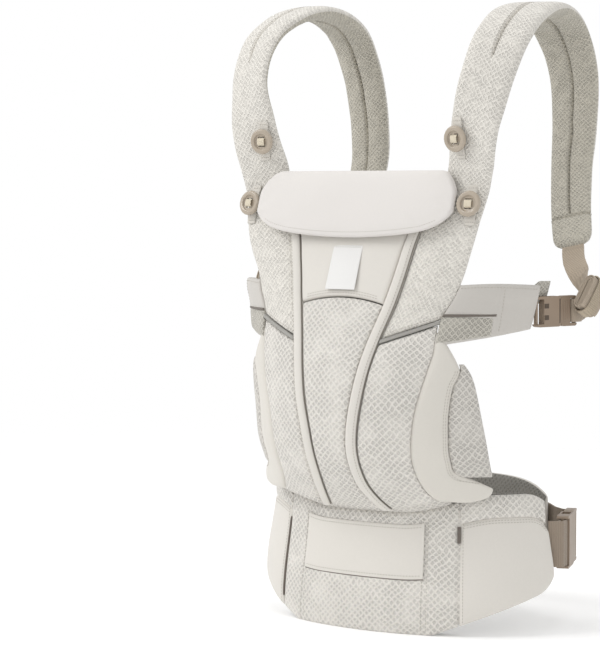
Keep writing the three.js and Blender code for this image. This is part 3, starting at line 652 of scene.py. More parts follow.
@dataclass(frozen=True)
class Moulded:
    """Moulded plastic with a fine spark-eroded grain, faint flow marks and painted highlights on sharp edges.
    """

    name: str
    colour: Colour
    roughness: float = 0.42
    coat: float = 0.0
    grain: float = 0.06

    def make(self) -> bpy.types.Material:
        """Builds the material: fine noise for the grain and wide noise for flow marks and handling;
        pointiness lightens sharp outer edges as a painted highlight.
        """
        bench = Bench(self.name)
        grain, cloud = bench.noise(2600.0, 2.0), bench.noise(60.0, 3.0)
        # Painted highlight: the sharpest outer edges, found by pointiness, are lightened in the base colour.
        patchiness_and_edge_highlight = bench.node("ShaderNodeNewGeometry", None, None, "Pointiness").step(0.52, 0.62)
        tone = bench.colours(shade(self.colour, 0.92), shade(self.colour, 1.08), cloud)
        bench.set(Base_Color=bench.colours(tone, shade(self.colour, 1.22), patchiness_and_edge_highlight * 0.5),
                  Roughness=self.roughness + (cloud - 0.5) * 0.16, Coat_Weight=self.coat,
                  Coat_Roughness=0.18, Specular_IOR_Level=0.5)
        bench.bump(grain, self.grain * MM)
        return bench.material


@dataclass(frozen=True)
class Thread:
    """Sewing thread: twisted, with a slight shine."""

    name: str
    colour: Colour

    def make(self) -> bpy.types.Material:
        """Builds the material: fine noise breaks up the colour and the surface."""
        bench = Bench(self.name)
        twist = bench.noise(2200.0, 1.0)
        bench.set(Base_Color=bench.colours(shade(self.colour, 0.8), self.colour, twist),
                  Roughness=0.6, Sheen_Weight=0.2)
        bench.bump(twist, 0.15 * MM)
        return bench.material


class Wardrobe:
    """All the finishes, each made once and paired with the record's slot that it stands for."""

    def __init__(self) -> None:
        """Names the finishes; a material is built when it is first asked for."""
        self.finishes = {
            "mesh": (AirMesh("mesh_front", linear(226, 222, 215)), "mesh"),
            # The leg gussets: a darker copy of the front mesh, painted shade.
            "mesh_shade": (AirMesh("mesh_gusset", linear(214, 210, 203)), "mesh"),
            # The wing pockets and linings: a darker copy of the mesh, painted shade.
            "pocket": (AirMesh("mesh_pocket", linear(194, 190, 180), 6.4), "mesh"),
            "knit": (FineKnit("knit_strap", linear(229, 225, 217)), "strap_knit"),
            # The strap's inner face: a darker copy of the strap knit, painted shade.
            "knit_inner_painted_shade": (FineKnit("knit_strap_inner", linear(200, 195, 182), 5.2, 0.72), "strap_knit"),
            "plain": (PlainWeave("plain_cloth", linear(215, 211, 204)), "plain"),
            # The side wings: a darker copy of the plain cloth, painted shade on cloth that faces away from
            # the light.
            "wing": (PlainWeave("plain_wing", linear(196, 192, 186)), "plain"),
            "pad": (PlainWeave("plain_leg_pad", linear(212, 208, 200)), "pad_cover"),
            "smooth": (PlainWeave("plain_head_support", linear(217, 213, 209), 0.7, 0.03, 0.25),
                       "smooth"),
            "lining": (AirMesh("mesh_lining", linear(152, 149, 142), 6.5, 0.66, 0.9), "lining"),
            "webbing": (RibbedWebbing("webbing_taupe", linear(192, 177, 158)), "webbing"),
            "tape": (RibbedWebbing("tape_cream", linear(230, 225, 216), 1.1, 0.2), "tape"),
            "elastic": (RibbedWebbing("elastic_taupe", linear(196, 181, 158), 2.2, 0.5), "webbing"),
            "piping": (RibbedWebbing("piping_grey", linear(174, 172, 166), 1.2, 0.2), "piping"),
            # Dark grosgrain for the belt's tab and the wing piping, also used for strips of painted shadow on
            # the belt.
            "dark": (RibbedWebbing("grosgrain_dark", linear(120, 112, 104), 1.2, 0.2), "piping"),
            "label": (PlainWeave("label_white", linear(226, 225, 223), 0.5, 0.02, 0.05), "label"),
            "buckle": (Moulded("plastic_taupe", linear(142, 125, 108)), "buckle"),
            # A thin dark strip along one side of each rib: painted shadow at the rib's seam.
            "seam": (RibbedWebbing("seam_shadow", linear(142, 136, 127), 1.6, 0.2), "piping"),
            # Dark plastic for flat plates in the buckle socket's windows and at its mouth: painted shade.
            "painted_recess_shade": (Moulded("plastic_recess", linear(84, 72, 60), 0.6), "buckle"),
            # The waist bands: a darker copy of the taupe webbing, painted shade.
            "belt_web": (RibbedWebbing("webbing_belt", linear(162, 147, 131)), "webbing"),
            "button": (Moulded("plastic_button", linear(170, 158, 142), 0.26, 0.4, 0.02), "button"),
            "thread": (Thread("thread_light", linear(188, 183, 173)), "plain"),
            "cream": (RibbedWebbing("tape_loop", linear(242, 230, 206), 0.9, 0.3), "tape"),
        }
        self.made: dict[str, bpy.types.Material] = {}

    def material(self, key: str) -> bpy.types.Material:
        """The material of a finish."""
        if key not in self.made:
            self.made[key] = self.finishes[key][0].make()
        return self.made[key]


WARDROBE = Wardrobe()


# ---- Meshes -------------------------------------------------------------------------------


def quads(rows: int, columns: int, first: int = 0, wrap: bool = False) -> Array:
    """Corner numbers of the cells of a grid of points.

    Args:
        rows: Rows of points.
        columns: Points in a row.
        first: Number of the grid's first point.
        wrap: Whether the last column joins the first.

    Returns:
        Four point numbers for each cell.
    """
    j, i = np.meshgrid(np.arange(rows - 1), np.arange(columns if wrap else columns - 1), indexing="ij")
    k = (i + 1) % columns
    cells = np.stack([j * columns + i, j * columns + k, (j + 1) * columns + k, (j + 1) * columns + i], -1)
    return cells.reshape(-1, 4) + first


def make_object(name: str, co: Array, faces: Array, uv: Array | None = None,
                kinds: Array | None = None, materials: tuple[str, ...] = ("plain",)) -> bpy.types.Object:
    """Makes a mesh object from four-cornered faces.

    Args:
        name: The object's name.
        co: Points in metres in the model's frame.
        faces: Four point numbers for each face; a repeated last number makes a triangle.
        uv: Distances over the cloth in metres for each point.
        kinds: Which material each face takes.
        materials: Finishes by name.

    Returns:
        The object, smooth shaded, with faces pointing out.
    """
    co = np.asarray(co, float).reshape(-1, 3)
    tri = np.concatenate([faces[:, [0, 1, 2]], faces[:, [0, 2, 3]]])
    a, b, c = (co[tri[:, k]] for k in range(3))
    if np.einsum("ij,ij->", a, np.cross(b, c)) < 0:
        faces = faces[:, ::-1]
    mesh = bpy.data.meshes.new(name)
    mesh.vertices.add(len(co))
    mesh.vertices.foreach_set("co", co.astype(np.float32).ravel())
    mesh.loops.add(4 * len(faces))
    mesh.loops.foreach_set("vertex_index", faces.astype(np.int32).ravel())
    mesh.polygons.add(len(faces))
    mesh.polygons.foreach_set("loop_start", np.arange(0, 4 * len(faces), 4, dtype=np.int32))
    if kinds is not None:
        mesh.polygons.foreach_set("material_index", np.asarray(kinds, np.int32))
    if uv is not None:
        layer = mesh.uv_layers.new(name=UV_NAME)
        layer.data.foreach_set("uv", np.asarray(uv, np.float32).reshape(-1, 2)[faces.ravel()].ravel())
    mesh.update(calc_edges=True)
    mesh.validate()
    mesh.polygons.foreach_set("use_smooth", np.ones(len(mesh.polygons), bool))
    made = bpy.data.objects.new(name, mesh)
    bpy.context.scene.collection.objects.link(made)
    for key in materials:
        mesh.materials.append(WARDROBE.material(key))
    return made


@dataclass
class Shell:
    """A closed cloth body: a front and a back grid of points, in metres, joined round their edges."""

    name: str
    front: Array
    back: Array
    uv: Array
    materials: tuple[str, ...] = ("plain",)

    def build(self) -> bpy.types.Object:
        """Makes the mesh. The back takes the second finish where there is one."""
        rows, columns = self.front.shape[:2]
        count = rows * columns
        edge = np.concatenate([
            np.arange(columns), np.arange(1, rows) * columns + columns - 1,
            (rows - 1) * columns + np.arange(columns - 2, -1, -1), np.arange(rows - 2, 0, -1) * columns])
        after = np.roll(edge, -1)
        walls = np.stack([edge, edge + count, after + count, after], -1)
        front = quads(rows, columns)
        back = quads(rows, columns, count)[:, ::-1]
        second = min(1, len(self.materials) - 1)
        kinds = np.concatenate([np.zeros(len(front)), np.full(len(back), second), np.zeros(len(walls))])
        co = np.concatenate([self.front.reshape(-1, 3), self.back.reshape(-1, 3)])
        uv = np.concatenate([self.uv.reshape(-1, 2)] * 2)
        return make_object(self.name, co, np.concatenate([front, back, walls]), uv, kinds,
                           self.materials)


def sweep(name: str, path: Array, across: Array, outward: Array, section: Array,
          materials: tuple[str, ...]) -> bpy.types.Object:
    """Carries a closed section along a path and caps both ends.

    Args:
        name: The object's name.
        path: Points in metres.
        across: The section's first direction at each point.
        outward: The section's second direction at each point.
        section: Points of the section in metres, going round it.
        materials: Finishes by name.

    Returns:
        The object.
    """
    rows, columns = len(path), len(section)
    co = (path[:, None] + across[:, None] * section[None, :, :1]
          + outward[:, None] * section[None, :, 1:])
    walk = np.concatenate([[0.0], np.cumsum(np.linalg.norm(np.diff(path, axis=0), axis=1))])
    uv = np.stack(np.broadcast_arrays(section[None, :, 0], walk[:, None]), -1)
    co = np.concatenate([co.reshape(-1, 3), [path[0], path[-1]]])
    uv = np.concatenate([uv.reshape(-1, 2), [[0, 0], [0, walk[-1]]]])
    ring, n = np.arange(columns), rows * columns
    after = np.roll(ring, -1)
    start = np.stack([after, ring, np.full(columns, n), np.full(columns, n)], -1)
    tail = n - columns
    end = np.stack([ring + tail, after + tail, np.full(columns, n + 1), np.full(columns, n + 1)], -1)
    body = quads(rows, columns, wrap=True)
    made = make_object(name, co, np.concatenate([body, start, end]), uv, None, materials)
    return made


def band_section(width: float, thickness: float, rounds: int = 4) -> Array:
    """A flat band's section in millimetres: two straight faces and half-round edges."""
    half, r = width / 2 - thickness / 2, thickness / 2
    angle = np.linspace(-math.pi / 2, math.pi / 2, rounds + 1)
    right = np.stack([half + r * np.cos(angle), r * np.sin(angle)], -1)
    inner = np.stack([np.linspace(half, -half, 7)[1:-1], np.full(5, r)], -1)
    return np.concatenate([right, inner, -right, -inner])


def stitches(name: str, line: Array, outward: Array, body: str, finish: str = "thread",
             pitch: float = 3.4, size: float = 0.42) -> bpy.types.Object:
    """A row of sewn stitches: short flattened beads of thread with a gap after each.

    Args:
        name: The object's name.
        line: Points in metres that the row follows, on the cloth.
        outward: The cloth's normal at each point.
        body: The body that the row rides on.
        finish: The thread's finish.
        pitch: Millimetres from one stitch to the next.
        size: The thread's half thickness in millimetres.

    Returns:
        The object.
    """
    walk = np.concatenate([[0.0], np.cumsum(np.linalg.norm(np.diff(line, axis=0), axis=1))])
    count = max(1, int(walk[-1] / (pitch * MM)))
    at = (np.arange(count) + 0.5) / count * walk[-1]
    pick = lambda values, s: np.stack([np.interp(s, walk, values[:, k]) for k in range(3)], -1)
    centre, normal = pick(line, at), unit(pick(outward, at))
    half = 0.34 * pitch * MM
    along = unit(pick(line, np.minimum(at + half, walk[-1])) - pick(line, np.maximum(at - half, 0)))
    wide = np.cross(normal, along)
    turn = np.arange(6) * math.pi / 3
    rings = []
    for place, swell in ((-1.0, 0.35), (-0.55, 1.0), (0.55, 1.0), (1.0, 0.35)):
        middle = centre + along * (place * half)
        offset = (wide[:, None] * np.cos(turn)[None, :, None] * swell
                  + normal[:, None] * np.sin(turn)[None, :, None] * swell * 0.8) * size * MM
        rings.append(middle[:, None] + offset)
    co = np.stack(rings, 1).reshape(-1, 3)
    one = np.concatenate([quads(4, 6, wrap=True), [[5, 2, 1, 0], [5, 4, 3, 2],
                                                   [18, 19, 20, 23], [20, 21, 22, 23]]])
    faces = (one[None] + (np.arange(count) * 24)[:, None, None]).reshape(-1, 4)
    made = make_object(name, co, faces, None, None, (finish,))
    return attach(made, body)


@dataclass(frozen=True)
class Stuffing:
    """Blows a closed cloth body up like a filled pad, with its seams held where they are sewn."""

    pressure: float = 4.0
    cap: float = 4.0
    frames: int = 18

    def settle(self, piece: bpy.types.Object, held: Array) -> None:
        """Runs the cloth, limits how far each point may move, and keeps the result.

        Args:
            piece: The pad.
            held: True for each point that a seam holds.
        """
        mesh = piece.data
        group = piece.vertex_groups.new(name="seam")
        group.add([int(i) for i in np.flatnonzero(held)], 1.0, "REPLACE")
        before = np.zeros(len(mesh.vertices) * 3, np.float32)
        mesh.vertices.foreach_get("co", before)
        cloth = piece.modifiers.new("stuffing", "CLOTH")
        cloth.settings.use_pressure = True
        cloth.settings.uniform_pressure_force = self.pressure
        cloth.settings.effector_weights.gravity = 0.0
        cloth.settings.vertex_group_mass = "seam"
        cloth.settings.quality = 5
        cloth.settings.mass = 0.25
        cloth.settings.tension_stiffness = 18.0
        cloth.settings.compression_stiffness = 12.0
        cloth.settings.shear_stiffness = 6.0
        cloth.settings.bending_stiffness = 0.8
        cloth.point_cache.frame_start = 1
        cloth.point_cache.frame_end = self.frames
        scene = bpy.context.scene
        for step in range(1, self.frames + 1):
            scene.frame_set(step)
        evaluated = piece.evaluated_get(bpy.context.evaluated_depsgraph_get())
        after = np.zeros(len(mesh.vertices) * 3, np.float32)
        evaluated.data.vertices.foreach_get("co", after)
        piece.modifiers.remove(cloth)
        piece.vertex_groups.remove(group)
        scene.frame_set(1)
        move = (after - before).reshape(-1, 3)
        far = np.linalg.norm(move, axis=1, keepdims=True)
        limit = self.cap * MM
        move *= np.where(far > 1e-9, limit * np.tanh(far / limit) / np.maximum(far, 1e-9), 0.0)
        mesh.vertices.foreach_set("co", (before.reshape(-1, 3) + move).astype(np.float32).ravel())
        mesh.update()
        log.info("%s swelled by up to %.1f mm", piece.name, float(np.linalg.norm(move, axis=1).max()) * 1e3)


def edge_mask(shape: tuple[int, int], rings: int = 1) -> Array:
    """True along the border of a grid, for its front and back points in turn."""
    mask = np.zeros(shape, bool)
    mask[:rings], mask[-rings:], mask[:, :rings], mask[:, -rings:] = True, True, True, True
    return np.concatenate([mask.ravel()] * 2)


def subdivided(piece: bpy.types.Object, levels: int = 1) -> bpy.types.Object:
    """Adds a Subdivision Surface that is the same in every view and render."""
    smooth = piece.modifiers.new("smooth", "SUBSURF")
    smooth.levels = smooth.render_levels = levels
    return piece


def finish_piece(piece: bpy.types.Object, body: str, *nodes: str,
                 fill: float | None = None) -> bpy.types.Object:
    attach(piece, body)
    if nodes:
        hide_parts(*nodes)
    log.info("%s: %d faces on %s", piece.name, len(piece.data.polygons), body)
    return piece


# ---- Sewn pieces --------------------------------------------------------------------------


def shares(cells: int, edge_weight: float = 0.7) -> Array:
    """Shares from 0 to 1 that lie closer together towards both ends."""
    t = np.linspace(0, 1, cells + 1)
    return mix(t, (1 - np.cos(math.pi * t)) / 2, edge_weight)


def margins(p: Array) -> tuple[Array, Array]:
    """Distances over a grid of points to the nearer side edge and to the nearer end edge.

    Args:
        p: Points, rows by columns.

    Returns:
        Two arrays of distances in the points' units.
    """
    found = []
    for axis in (1, 0):
        step = np.linalg.norm(np.diff(p, axis=axis), axis=2)
        walk = np.insert(np.cumsum(step, axis), 0, 0.0, axis)
        whole = walk.take([-1], axis)
        found.append(np.minimum(walk, whole - walk))
    return found[0], found[1]


@dataclass(frozen=True)
class Pad:
    """How a sewn piece is filled, in millimetres: depth, crown, and how its edges are rounded in."""

    depth: float = 9.0
    proud: float = 0.0
    crown: float = 1.2
    edge: float = 5.0
    tuck: float = 2.4
    back_tuck: float = 1.5

    def faces(self, sides: Array, ends: Array) -> tuple[Array, Array]:
        """Offsets of the front and back faces for the distances to the piece's edges."""
        edge = rounded(sides, self.edge) * rounded(ends, self.edge)
        dome = (rounded(sides, max(self.edge, float(sides.max())))
                * rounded(ends, max(self.edge, float(ends.max()))))
        return (self.proud + self.crown * dome - self.tuck * (1 - edge),
                self.proud - self.depth + self.back_tuck * (1 - edge))


Place = Callable[[Array, Array, Array], Array]
Edge = Callable[[Array], Array]


@dataclass(frozen=True)
class Patch:
    """A piece of cloth laid on a form: where its four edges run and how it is filled."""

    name: str
    place: Place
    sides: tuple[Edge, Edge]
    ends: tuple[Edge, Edge]
    pad: Pad = Pad()
    cells: tuple[int, int] = (16, 24)
    materials: tuple[str, ...] = ("plain",)
    side: Side = Side.RIGHT
    relief: Place | None = None
    thick: Callable[[Array, Array], Array] | None = None
    edge_weight: float = 0.7

    def base(self) -> tuple[Array, Array]:
        """Reach and height of the piece's grid; its edges are found by a few rounds of correction."""
        u, v = np.meshgrid(shares(self.cells[0], self.edge_weight), shares(self.cells[1], self.edge_weight))
        reach, z = np.zeros_like(u), mix(self.ends[0](u * 0), self.ends[1](u * 0), v)
        for _ in range(6):
            reach = mix(self.sides[0](z), self.sides[1](z), u)
            z = mix(self.ends[0](reach), self.ends[1](reach), v)
        return reach, z

    def build(self) -> bpy.types.Object:
        """Makes the piece as a closed body with a front and a back."""
        reach, z = self.base()
        sides, ends = margins(self.place(reach, z, reach * 0))
        front, back = self.pad.faces(sides, ends)
        if self.thick is not None:
            back = self.pad.proud + self.pad.back_tuck - self.thick(reach, z)
        if self.relief is not None:
            front = front + self.relief(reach, z, front)
        faces = [placed(flipped(self.place(reach, z, out), self.side)) for out in (front, back)]
        heights = np.linspace(z.min(), z.max(), 160)
        rise = self.place(heights * 0 + reach.mean(), heights, heights * 0)
        walk = np.insert(np.cumsum(np.linalg.norm(np.diff(rise, axis=0), axis=1)), 0, 0.0)
        uv = np.stack([reach, np.interp(z, heights, heights[0] + walk)], -1) * MM
        return Shell(self.name, faces[0], faces[1], uv, self.materials).build()

    def sew(self, body: str, *nodes: str, fill: float | None = 0.5, levels: int = 1,
            stuffing: "Stuffing | None" = None) -> bpy.types.Object:
        """Makes the piece, fills it, and fixes it to its body in place of the model's nodes."""
        piece = self.build()
        if stuffing is not None:
            stuffing.settle(piece, edge_mask((self.cells[1] + 1, self.cells[0] + 1)))
        subdivided(piece, levels)
        finish_piece(piece, body, *nodes, fill=fill)
        return piece

    def flat(self) -> tuple[float, float, float]:
        """Flat width, length and area in metres, measured over the grid."""
        reach, z = self.base()
        p = self.place(reach, z, reach * 0) * MM
        wide = np.linalg.norm(np.diff(p, axis=1), axis=2).sum(1).max()
        tall = np.linalg.norm(np.diff(p, axis=0), axis=2).sum(0).max()
        cell = np.cross(p[1:, :-1] - p[:-1, :-1], p[:-1, 1:] - p[:-1, :-1])
        area = float(np.linalg.norm(cell, axis=2).sum())
        return float(wide), float(tall), min(area, float(wide * tall))

    def lay(self, body: str, held: str, *nodes: str) -> bpy.types.Object:
        piece = self.sew(body, *nodes, fill=None)
        wide, tall, area = self.flat()
        log.info("%s is cut from %.0f by %.0f mm", self.name, wide * 1000, tall * 1000)
        return piece


def level(value: float) -> Edge:
    """An edge that keeps one value all along."""
    return lambda t: np.full(np.shape(t), float(value))


def on_panel(reach: Array, z: Array, out: Array) -> Array:
    """The front panel."""
    return PANEL.lifted(reach, z, out)


def on_wing(reach: Array, z: Array, out: Array) -> Array:
    """A side wing, which curls round the body."""
    return PANEL.lifted(reach, z, out, PANEL.wing_bend)


def on_belt(reach: Array, z: Array, out: Array) -> Array:
    """The waist belt's outer face."""
    foot, top = RING.foot(reach), RING.top(reach)
    share = np.clip((z - foot) / (top - foot), 0.0, 1.0)
    return RING.point(reach, z, RING.out(share) + out)


class Cloth:
    """The finished surface of one or more pieces, for sewing rows of stitches onto."""

    def __init__(self, *pieces: bpy.types.Object) -> None:
        """Reads the pieces with their modifiers on."""
        bpy.context.view_layer.update()
        graph = bpy.context.evaluated_depsgraph_get()
        self.trees = [BVHTree.FromObject(piece, graph) for piece in pieces]

    def snap(self, line: Array) -> tuple[Array, Array]:
        """The nearest points of the surface to a line's points, and the normals there."""
        spots, normals = [], []
        for p in line:
            hits = [tree.find_nearest(Vector(p)) for tree in self.trees]
            best = min((h for h in hits if h[0] is not None), key=lambda h: h[3])
            spots.append(best[0])
            normals.append(best[1])
        return np.array(spots), np.array(normals)

    def row(self, name: str, line: Array, body: str, finish: str = "thread", pitch: float = 3.4,
            size: float = 0.42) -> bpy.types.Object:
        """Sews one row of stitches along a line given in metres."""
        spots, normals = self.snap(line)
        return stitches(name, spots, normals, body, finish, pitch, size)


# ---- Belt ---------------------------------------------------------------------------------


@dataclass
class Belt:
    """The waist belt: mesh front, plain sides, padded core, mesh lining and a smooth patch."""

    half_front: float = 117.0
    panel_seam: float = 80.0
    side_top: float = 24.0
    corner_run: float = 22.0
    corner_rise: float = 13.0
    patch_half: float = 79.0
    patch_share: tuple[float, float] = (0.45, 0.9)
    joint_half: float = 112.0
    joint_lift: float = 24.0
    joint_depth: float = 8.0

    def seams(self, reach: Array, z: Array, out: Array) -> Array:
        """Grooves of the two upright seams, and slack between them."""
        groove = np.exp(-((np.abs(reach) - self.panel_seam) / 1.8) ** 2)
        return -1.6 * groove + 0.5 * ripple(reach, z, 60.0, 1.0)

    def build(self) -> None:
        """Makes every piece."""
        reach_end = RING.reach_end
        above = lambda lift: (lambda r: RING.foot(r) + lift)
        below = lambda drop: (lambda r: RING.top(r) - drop)
        core = Patch("belt_core", on_belt, (level(3 - reach_end), level(reach_end - 3)),
                     (above(2.0), below(0.6)), Pad(16.0, -2.2, 1.4, 9.0, 3.0, 5.0), (96, 20),
                     ("mesh", "lining"))
        core.sew(ROOT, "belt_foam", fill=0.7, stuffing=Stuffing(cap=1.2))
        front = Patch("belt_front", on_belt, (level(-self.half_front), level(self.half_front)),
                      (above(0.0), below(0.0)), Pad(3.0, 0.0, 1.0, 5.0, 2.0, 0.6), (88, 24), ("mesh",),
                      relief=self.seams).sew(ROOT, "belt_front_cover", fill=0.4)
        cloth = Cloth(front)
        for name, reach in (("left", -self.panel_seam), ("right", self.panel_seam)):
            for side in (-2.6, 2.6):
                z = np.linspace(4, 126, 90)
                line = placed(on_belt(np.full(90, reach + side), z, z * 0 + 1))
                cloth.row(f"belt_seam_{name}_{'in' if side * reach < 0 else 'out'}", line, ROOT)
        inner = Patch("belt_inner", on_belt, (level(-reach_end), level(reach_end)), (above(0.0), below(0.0)),
                      Pad(2.4, -17.5, 0.2, 4.0, -1.2, 0.4), (96, 18), ("lining",))
        inner.lay(ROOT, "stretched", "belt_lining")
        for side in Side:
            self.side_cover(side)
        self.patch()
        Patch("belt_joint", self.joint, (level(-self.joint_half), level(self.joint_half)),
              (level(0), level(self.joint_lift)), Pad(4.0, 0.0, 2.0, 6.0, 1.0, 1.0), (60, 8),
              ("mesh",)).sew(ROOT, fill=0.4)

    def joint(self, reach: Array, lift: Array, out: Array) -> Array:
        """The cloth that joins the belt's upper edge to the panel's foot, as lift goes from 0 to its end."""
        low = on_belt(reach, RING.top(reach) - 5, out - self.joint_depth)
        high = on_panel(reach, 147 + 4 * smoothstep(np.abs(reach), 40, self.joint_half),
                        out - self.joint_depth)
        return mix(low, high, (np.asarray(lift, float) / self.joint_lift)[..., None])

    def side_cover(self, side: Side) -> None:
        """The plain cloth at one end, its top seam below the rounded mesh edge, and its stitches."""
        reach_end = RING.reach_end
        start, seam = self.half_front + 1.6, lambda r: RING.top(r) - self.side_top
        run = self.corner_run
        corner = lambda r: self.corner_rise * np.maximum(0.0, (r - (reach_end - run)) / run) ** 2.4
        cover = Patch(f"belt_side_{side.word}", on_belt, (level(start), level(reach_end)),
                      (lambda r: RING.foot(r) + corner(r), lambda r: seam(r) - corner(r) * 0.6),
                      Pad(3.2, 0.4, 1.6, 6.0, 2.2, 0.5), (36, 30), ("plain",), side,
                      relief=lambda r, z, o: 0.7 * ripple(r, z, 55.0, 3.0 + side.value))
        piece = cover.sew(ROOT, f"belt_side_cover_{side.word}", fill=0.5)
        cloth, reach = Cloth(piece), np.linspace(start + 3, reach_end - 5, 110)
        for row, drop in enumerate((2.6, 5.4)):
            line = on_belt(reach, seam(reach) - corner(reach) * 0.6 - drop, reach * 0 + 1)
            cloth.row(f"belt_side_hem_{side.word}_{row}", placed(flipped(line, side)), ROOT)
        z = np.linspace(14, 124, 80)
        line = placed(flipped(on_belt(z * 0 + start + 3.4, z, z * 0 + 1), side))
        cloth.row(f"belt_side_edge_{side.word}", line, ROOT)
        cap = Patch(f"belt_edge_{side.word}", on_belt, (level(start - 1), level(reach_end - 3)),
                    (lambda r: seam(r) - 1, lambda r: RING.top(r)), Pad(9.0, 0.6, 1.4, 8.0, 2.6, 1.0),
                    (32, 10), ("mesh",), side)
        cap.sew(ROOT, fill=0.6)

    def patch(self) -> None:
        """The smooth patch on the front, open along its foot, with a dark tab, and painted shadow along the
        opening and at the cover's edge.
        """
        low, high = self.patch_share
        at = lambda share: (lambda r: mix(RING.foot(r), RING.top(r), share))
        patch = Patch("belt_patch", on_belt, (level(-self.patch_half), level(self.patch_half)),
                      (at(low), at(high)), Pad(1.2, 2.3, 0.5, 3.0, 0.7, 0.0), (44, 16), ("plain",),
                      relief=lambda r, z, o: 0.35 * ripple(r, z, 48.0, 5.0))
        piece = patch.lay(ROOT, "stretched", "accessory_patch")
        cloth = Cloth(piece)
        reach = np.linspace(-self.patch_half + 3, self.patch_half - 3, 120)
        for name, share in (("foot", low + 0.03), ("top", high - 0.03)):
            cloth.row(f"belt_patch_{name}", placed(on_belt(reach, at(share)(reach), reach * 0 + 3)), ROOT)
        # Painted shadow: a dark strip along the patch's open foot.
        Patch("belt_slit", on_belt, (level(-self.patch_half), level(self.patch_half)),
              (lambda r: at(low)(r) - 1.1, lambda r: at(low)(r) + 0.8), Pad(1.6, 1.5, 0.2, 0.8, 0.5, 0.0),
              (44, 3), ("dark",)).sew(ROOT, fill=None)
        # The right tab is dark grosgrain; the left strip is painted shadow along the front cover's edge.
        for name, reach, half, foot, top, proud in (("tab", 117.5, 1.9, 100, 118, 2.4),
                                                    ("slit_edge", -118.0, 0.9, 22, 112, 0.9)):
            Patch(f"belt_{name}", on_belt, (level(reach - half), level(reach + half)),
                  (level(foot), level(top)), Pad(2.0, proud, 0.4, half, 0.6, 0.0), (4, 14),
                  ("dark",)).sew(ROOT, fill=None)


# ---- Hard parts and webbing ---------------------------------------------------------------


def body_of(node: str) -> str:
    """The body that one of the model's nodes rides on."""
    return frame["nodes"][node].parent.name.removeprefix("body:")


def merged_copy(node: str, name: str, finish: str, corner: float) -> bpy.types.Object:
    """A copy of one of the model's nodes with its flat faces joined up again.

    Args:
        node: The node.
        name: The copy's name.
        finish: The copy's finish.
        corner: Angle in degrees past which an edge stays sharp.

    Returns:
        The copy, which still has to ride on something.
    """
    mesh = bpy.data.meshes.new(name)
    work = bmesh.new()
    work.from_mesh(frame["nodes"][node].data)
    bmesh.ops.remove_doubles(work, verts=work.verts, dist=2e-6)
    bmesh.ops.dissolve_limit(work, angle_limit=math.radians(0.6), verts=work.verts, edges=work.edges)
    work.to_mesh(mesh)
    work.free()
    mesh.materials.append(WARDROBE.material(finish))
    mesh.polygons.foreach_set("use_smooth", np.ones(len(mesh.polygons), bool))
    mesh.set_sharp_from_angle(angle=math.radians(corner))
    made = bpy.data.objects.new(name, mesh)
    bpy.context.scene.collection.objects.link(made)
    return made


def moulded(node: str, finish: str = "buckle", bevel: float = 0.7) -> bpy.types.Object:
    """A hard part: the model's own shape with softened edges."""
    piece = merged_copy(node, f"{node}_moulding", finish, 40.0)
    soft = piece.modifiers.new("edges", "BEVEL")
    soft.width, soft.segments, soft.limit_method = bevel * MM, 2, "ANGLE"
    soft.angle_limit = math.radians(38)
    soft.harden_normals = True
    finish_piece(piece, body_of(node), node)
    return piece


@dataclass(frozen=True)
class Pull:
    """The plug that a band is threaded through, and two points along the band; nothing makes the band follow
    the plug.

    Attributes:
        body: The plug's body; not used.
        start: A point along the band near the carrier, in metres; not used.
        end: A point further along the band towards the plug, in metres; not used.
    """

    body: str
    start: Array
    end: Array


def woven(node: str, finish: str, along: Array | None = None,
          pulled: Pull | None = None) -> bpy.types.Object:
    """A band of webbing: the model's own run of it, with a map that follows the weave.

    Args:
        node: The node.
        finish: The weave's finish.
        along: The band's heading where it is straight; left out for a band that follows the belt.
        pulled: The plug the band is threaded through, if it has one.

    Returns:
        The band.
    """
    piece = merged_copy(node, f"{node}_band", finish, 50.0)
    mesh = piece.data
    co = np.zeros(len(mesh.vertices) * 3, np.float32)
    mesh.vertices.foreach_get("co", co)
    co = co.reshape(-1, 3).astype(float)
    if along is None:
        turn = np.mod(np.arctan2(co[:, 0] / RING.half_width, -(co[:, 1] - RING_Y) / RING.half_depth),
                      2 * math.pi)
        way = turn / (2 * math.pi) * RING.length * MM
    else:
        way = co @ along
    corners = np.zeros(len(mesh.loops), np.int32)
    mesh.loops.foreach_get("vertex_index", corners)
    layer = mesh.uv_layers.new(name=UV_NAME)
    layer.data.foreach_set("uv", np.stack([co[:, 2], way], -1)[corners].astype(np.float32).ravel())
    if pulled is None:
        return finish_piece(piece, body_of(node), node)
    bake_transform(piece)
    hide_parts(node)
    return piece


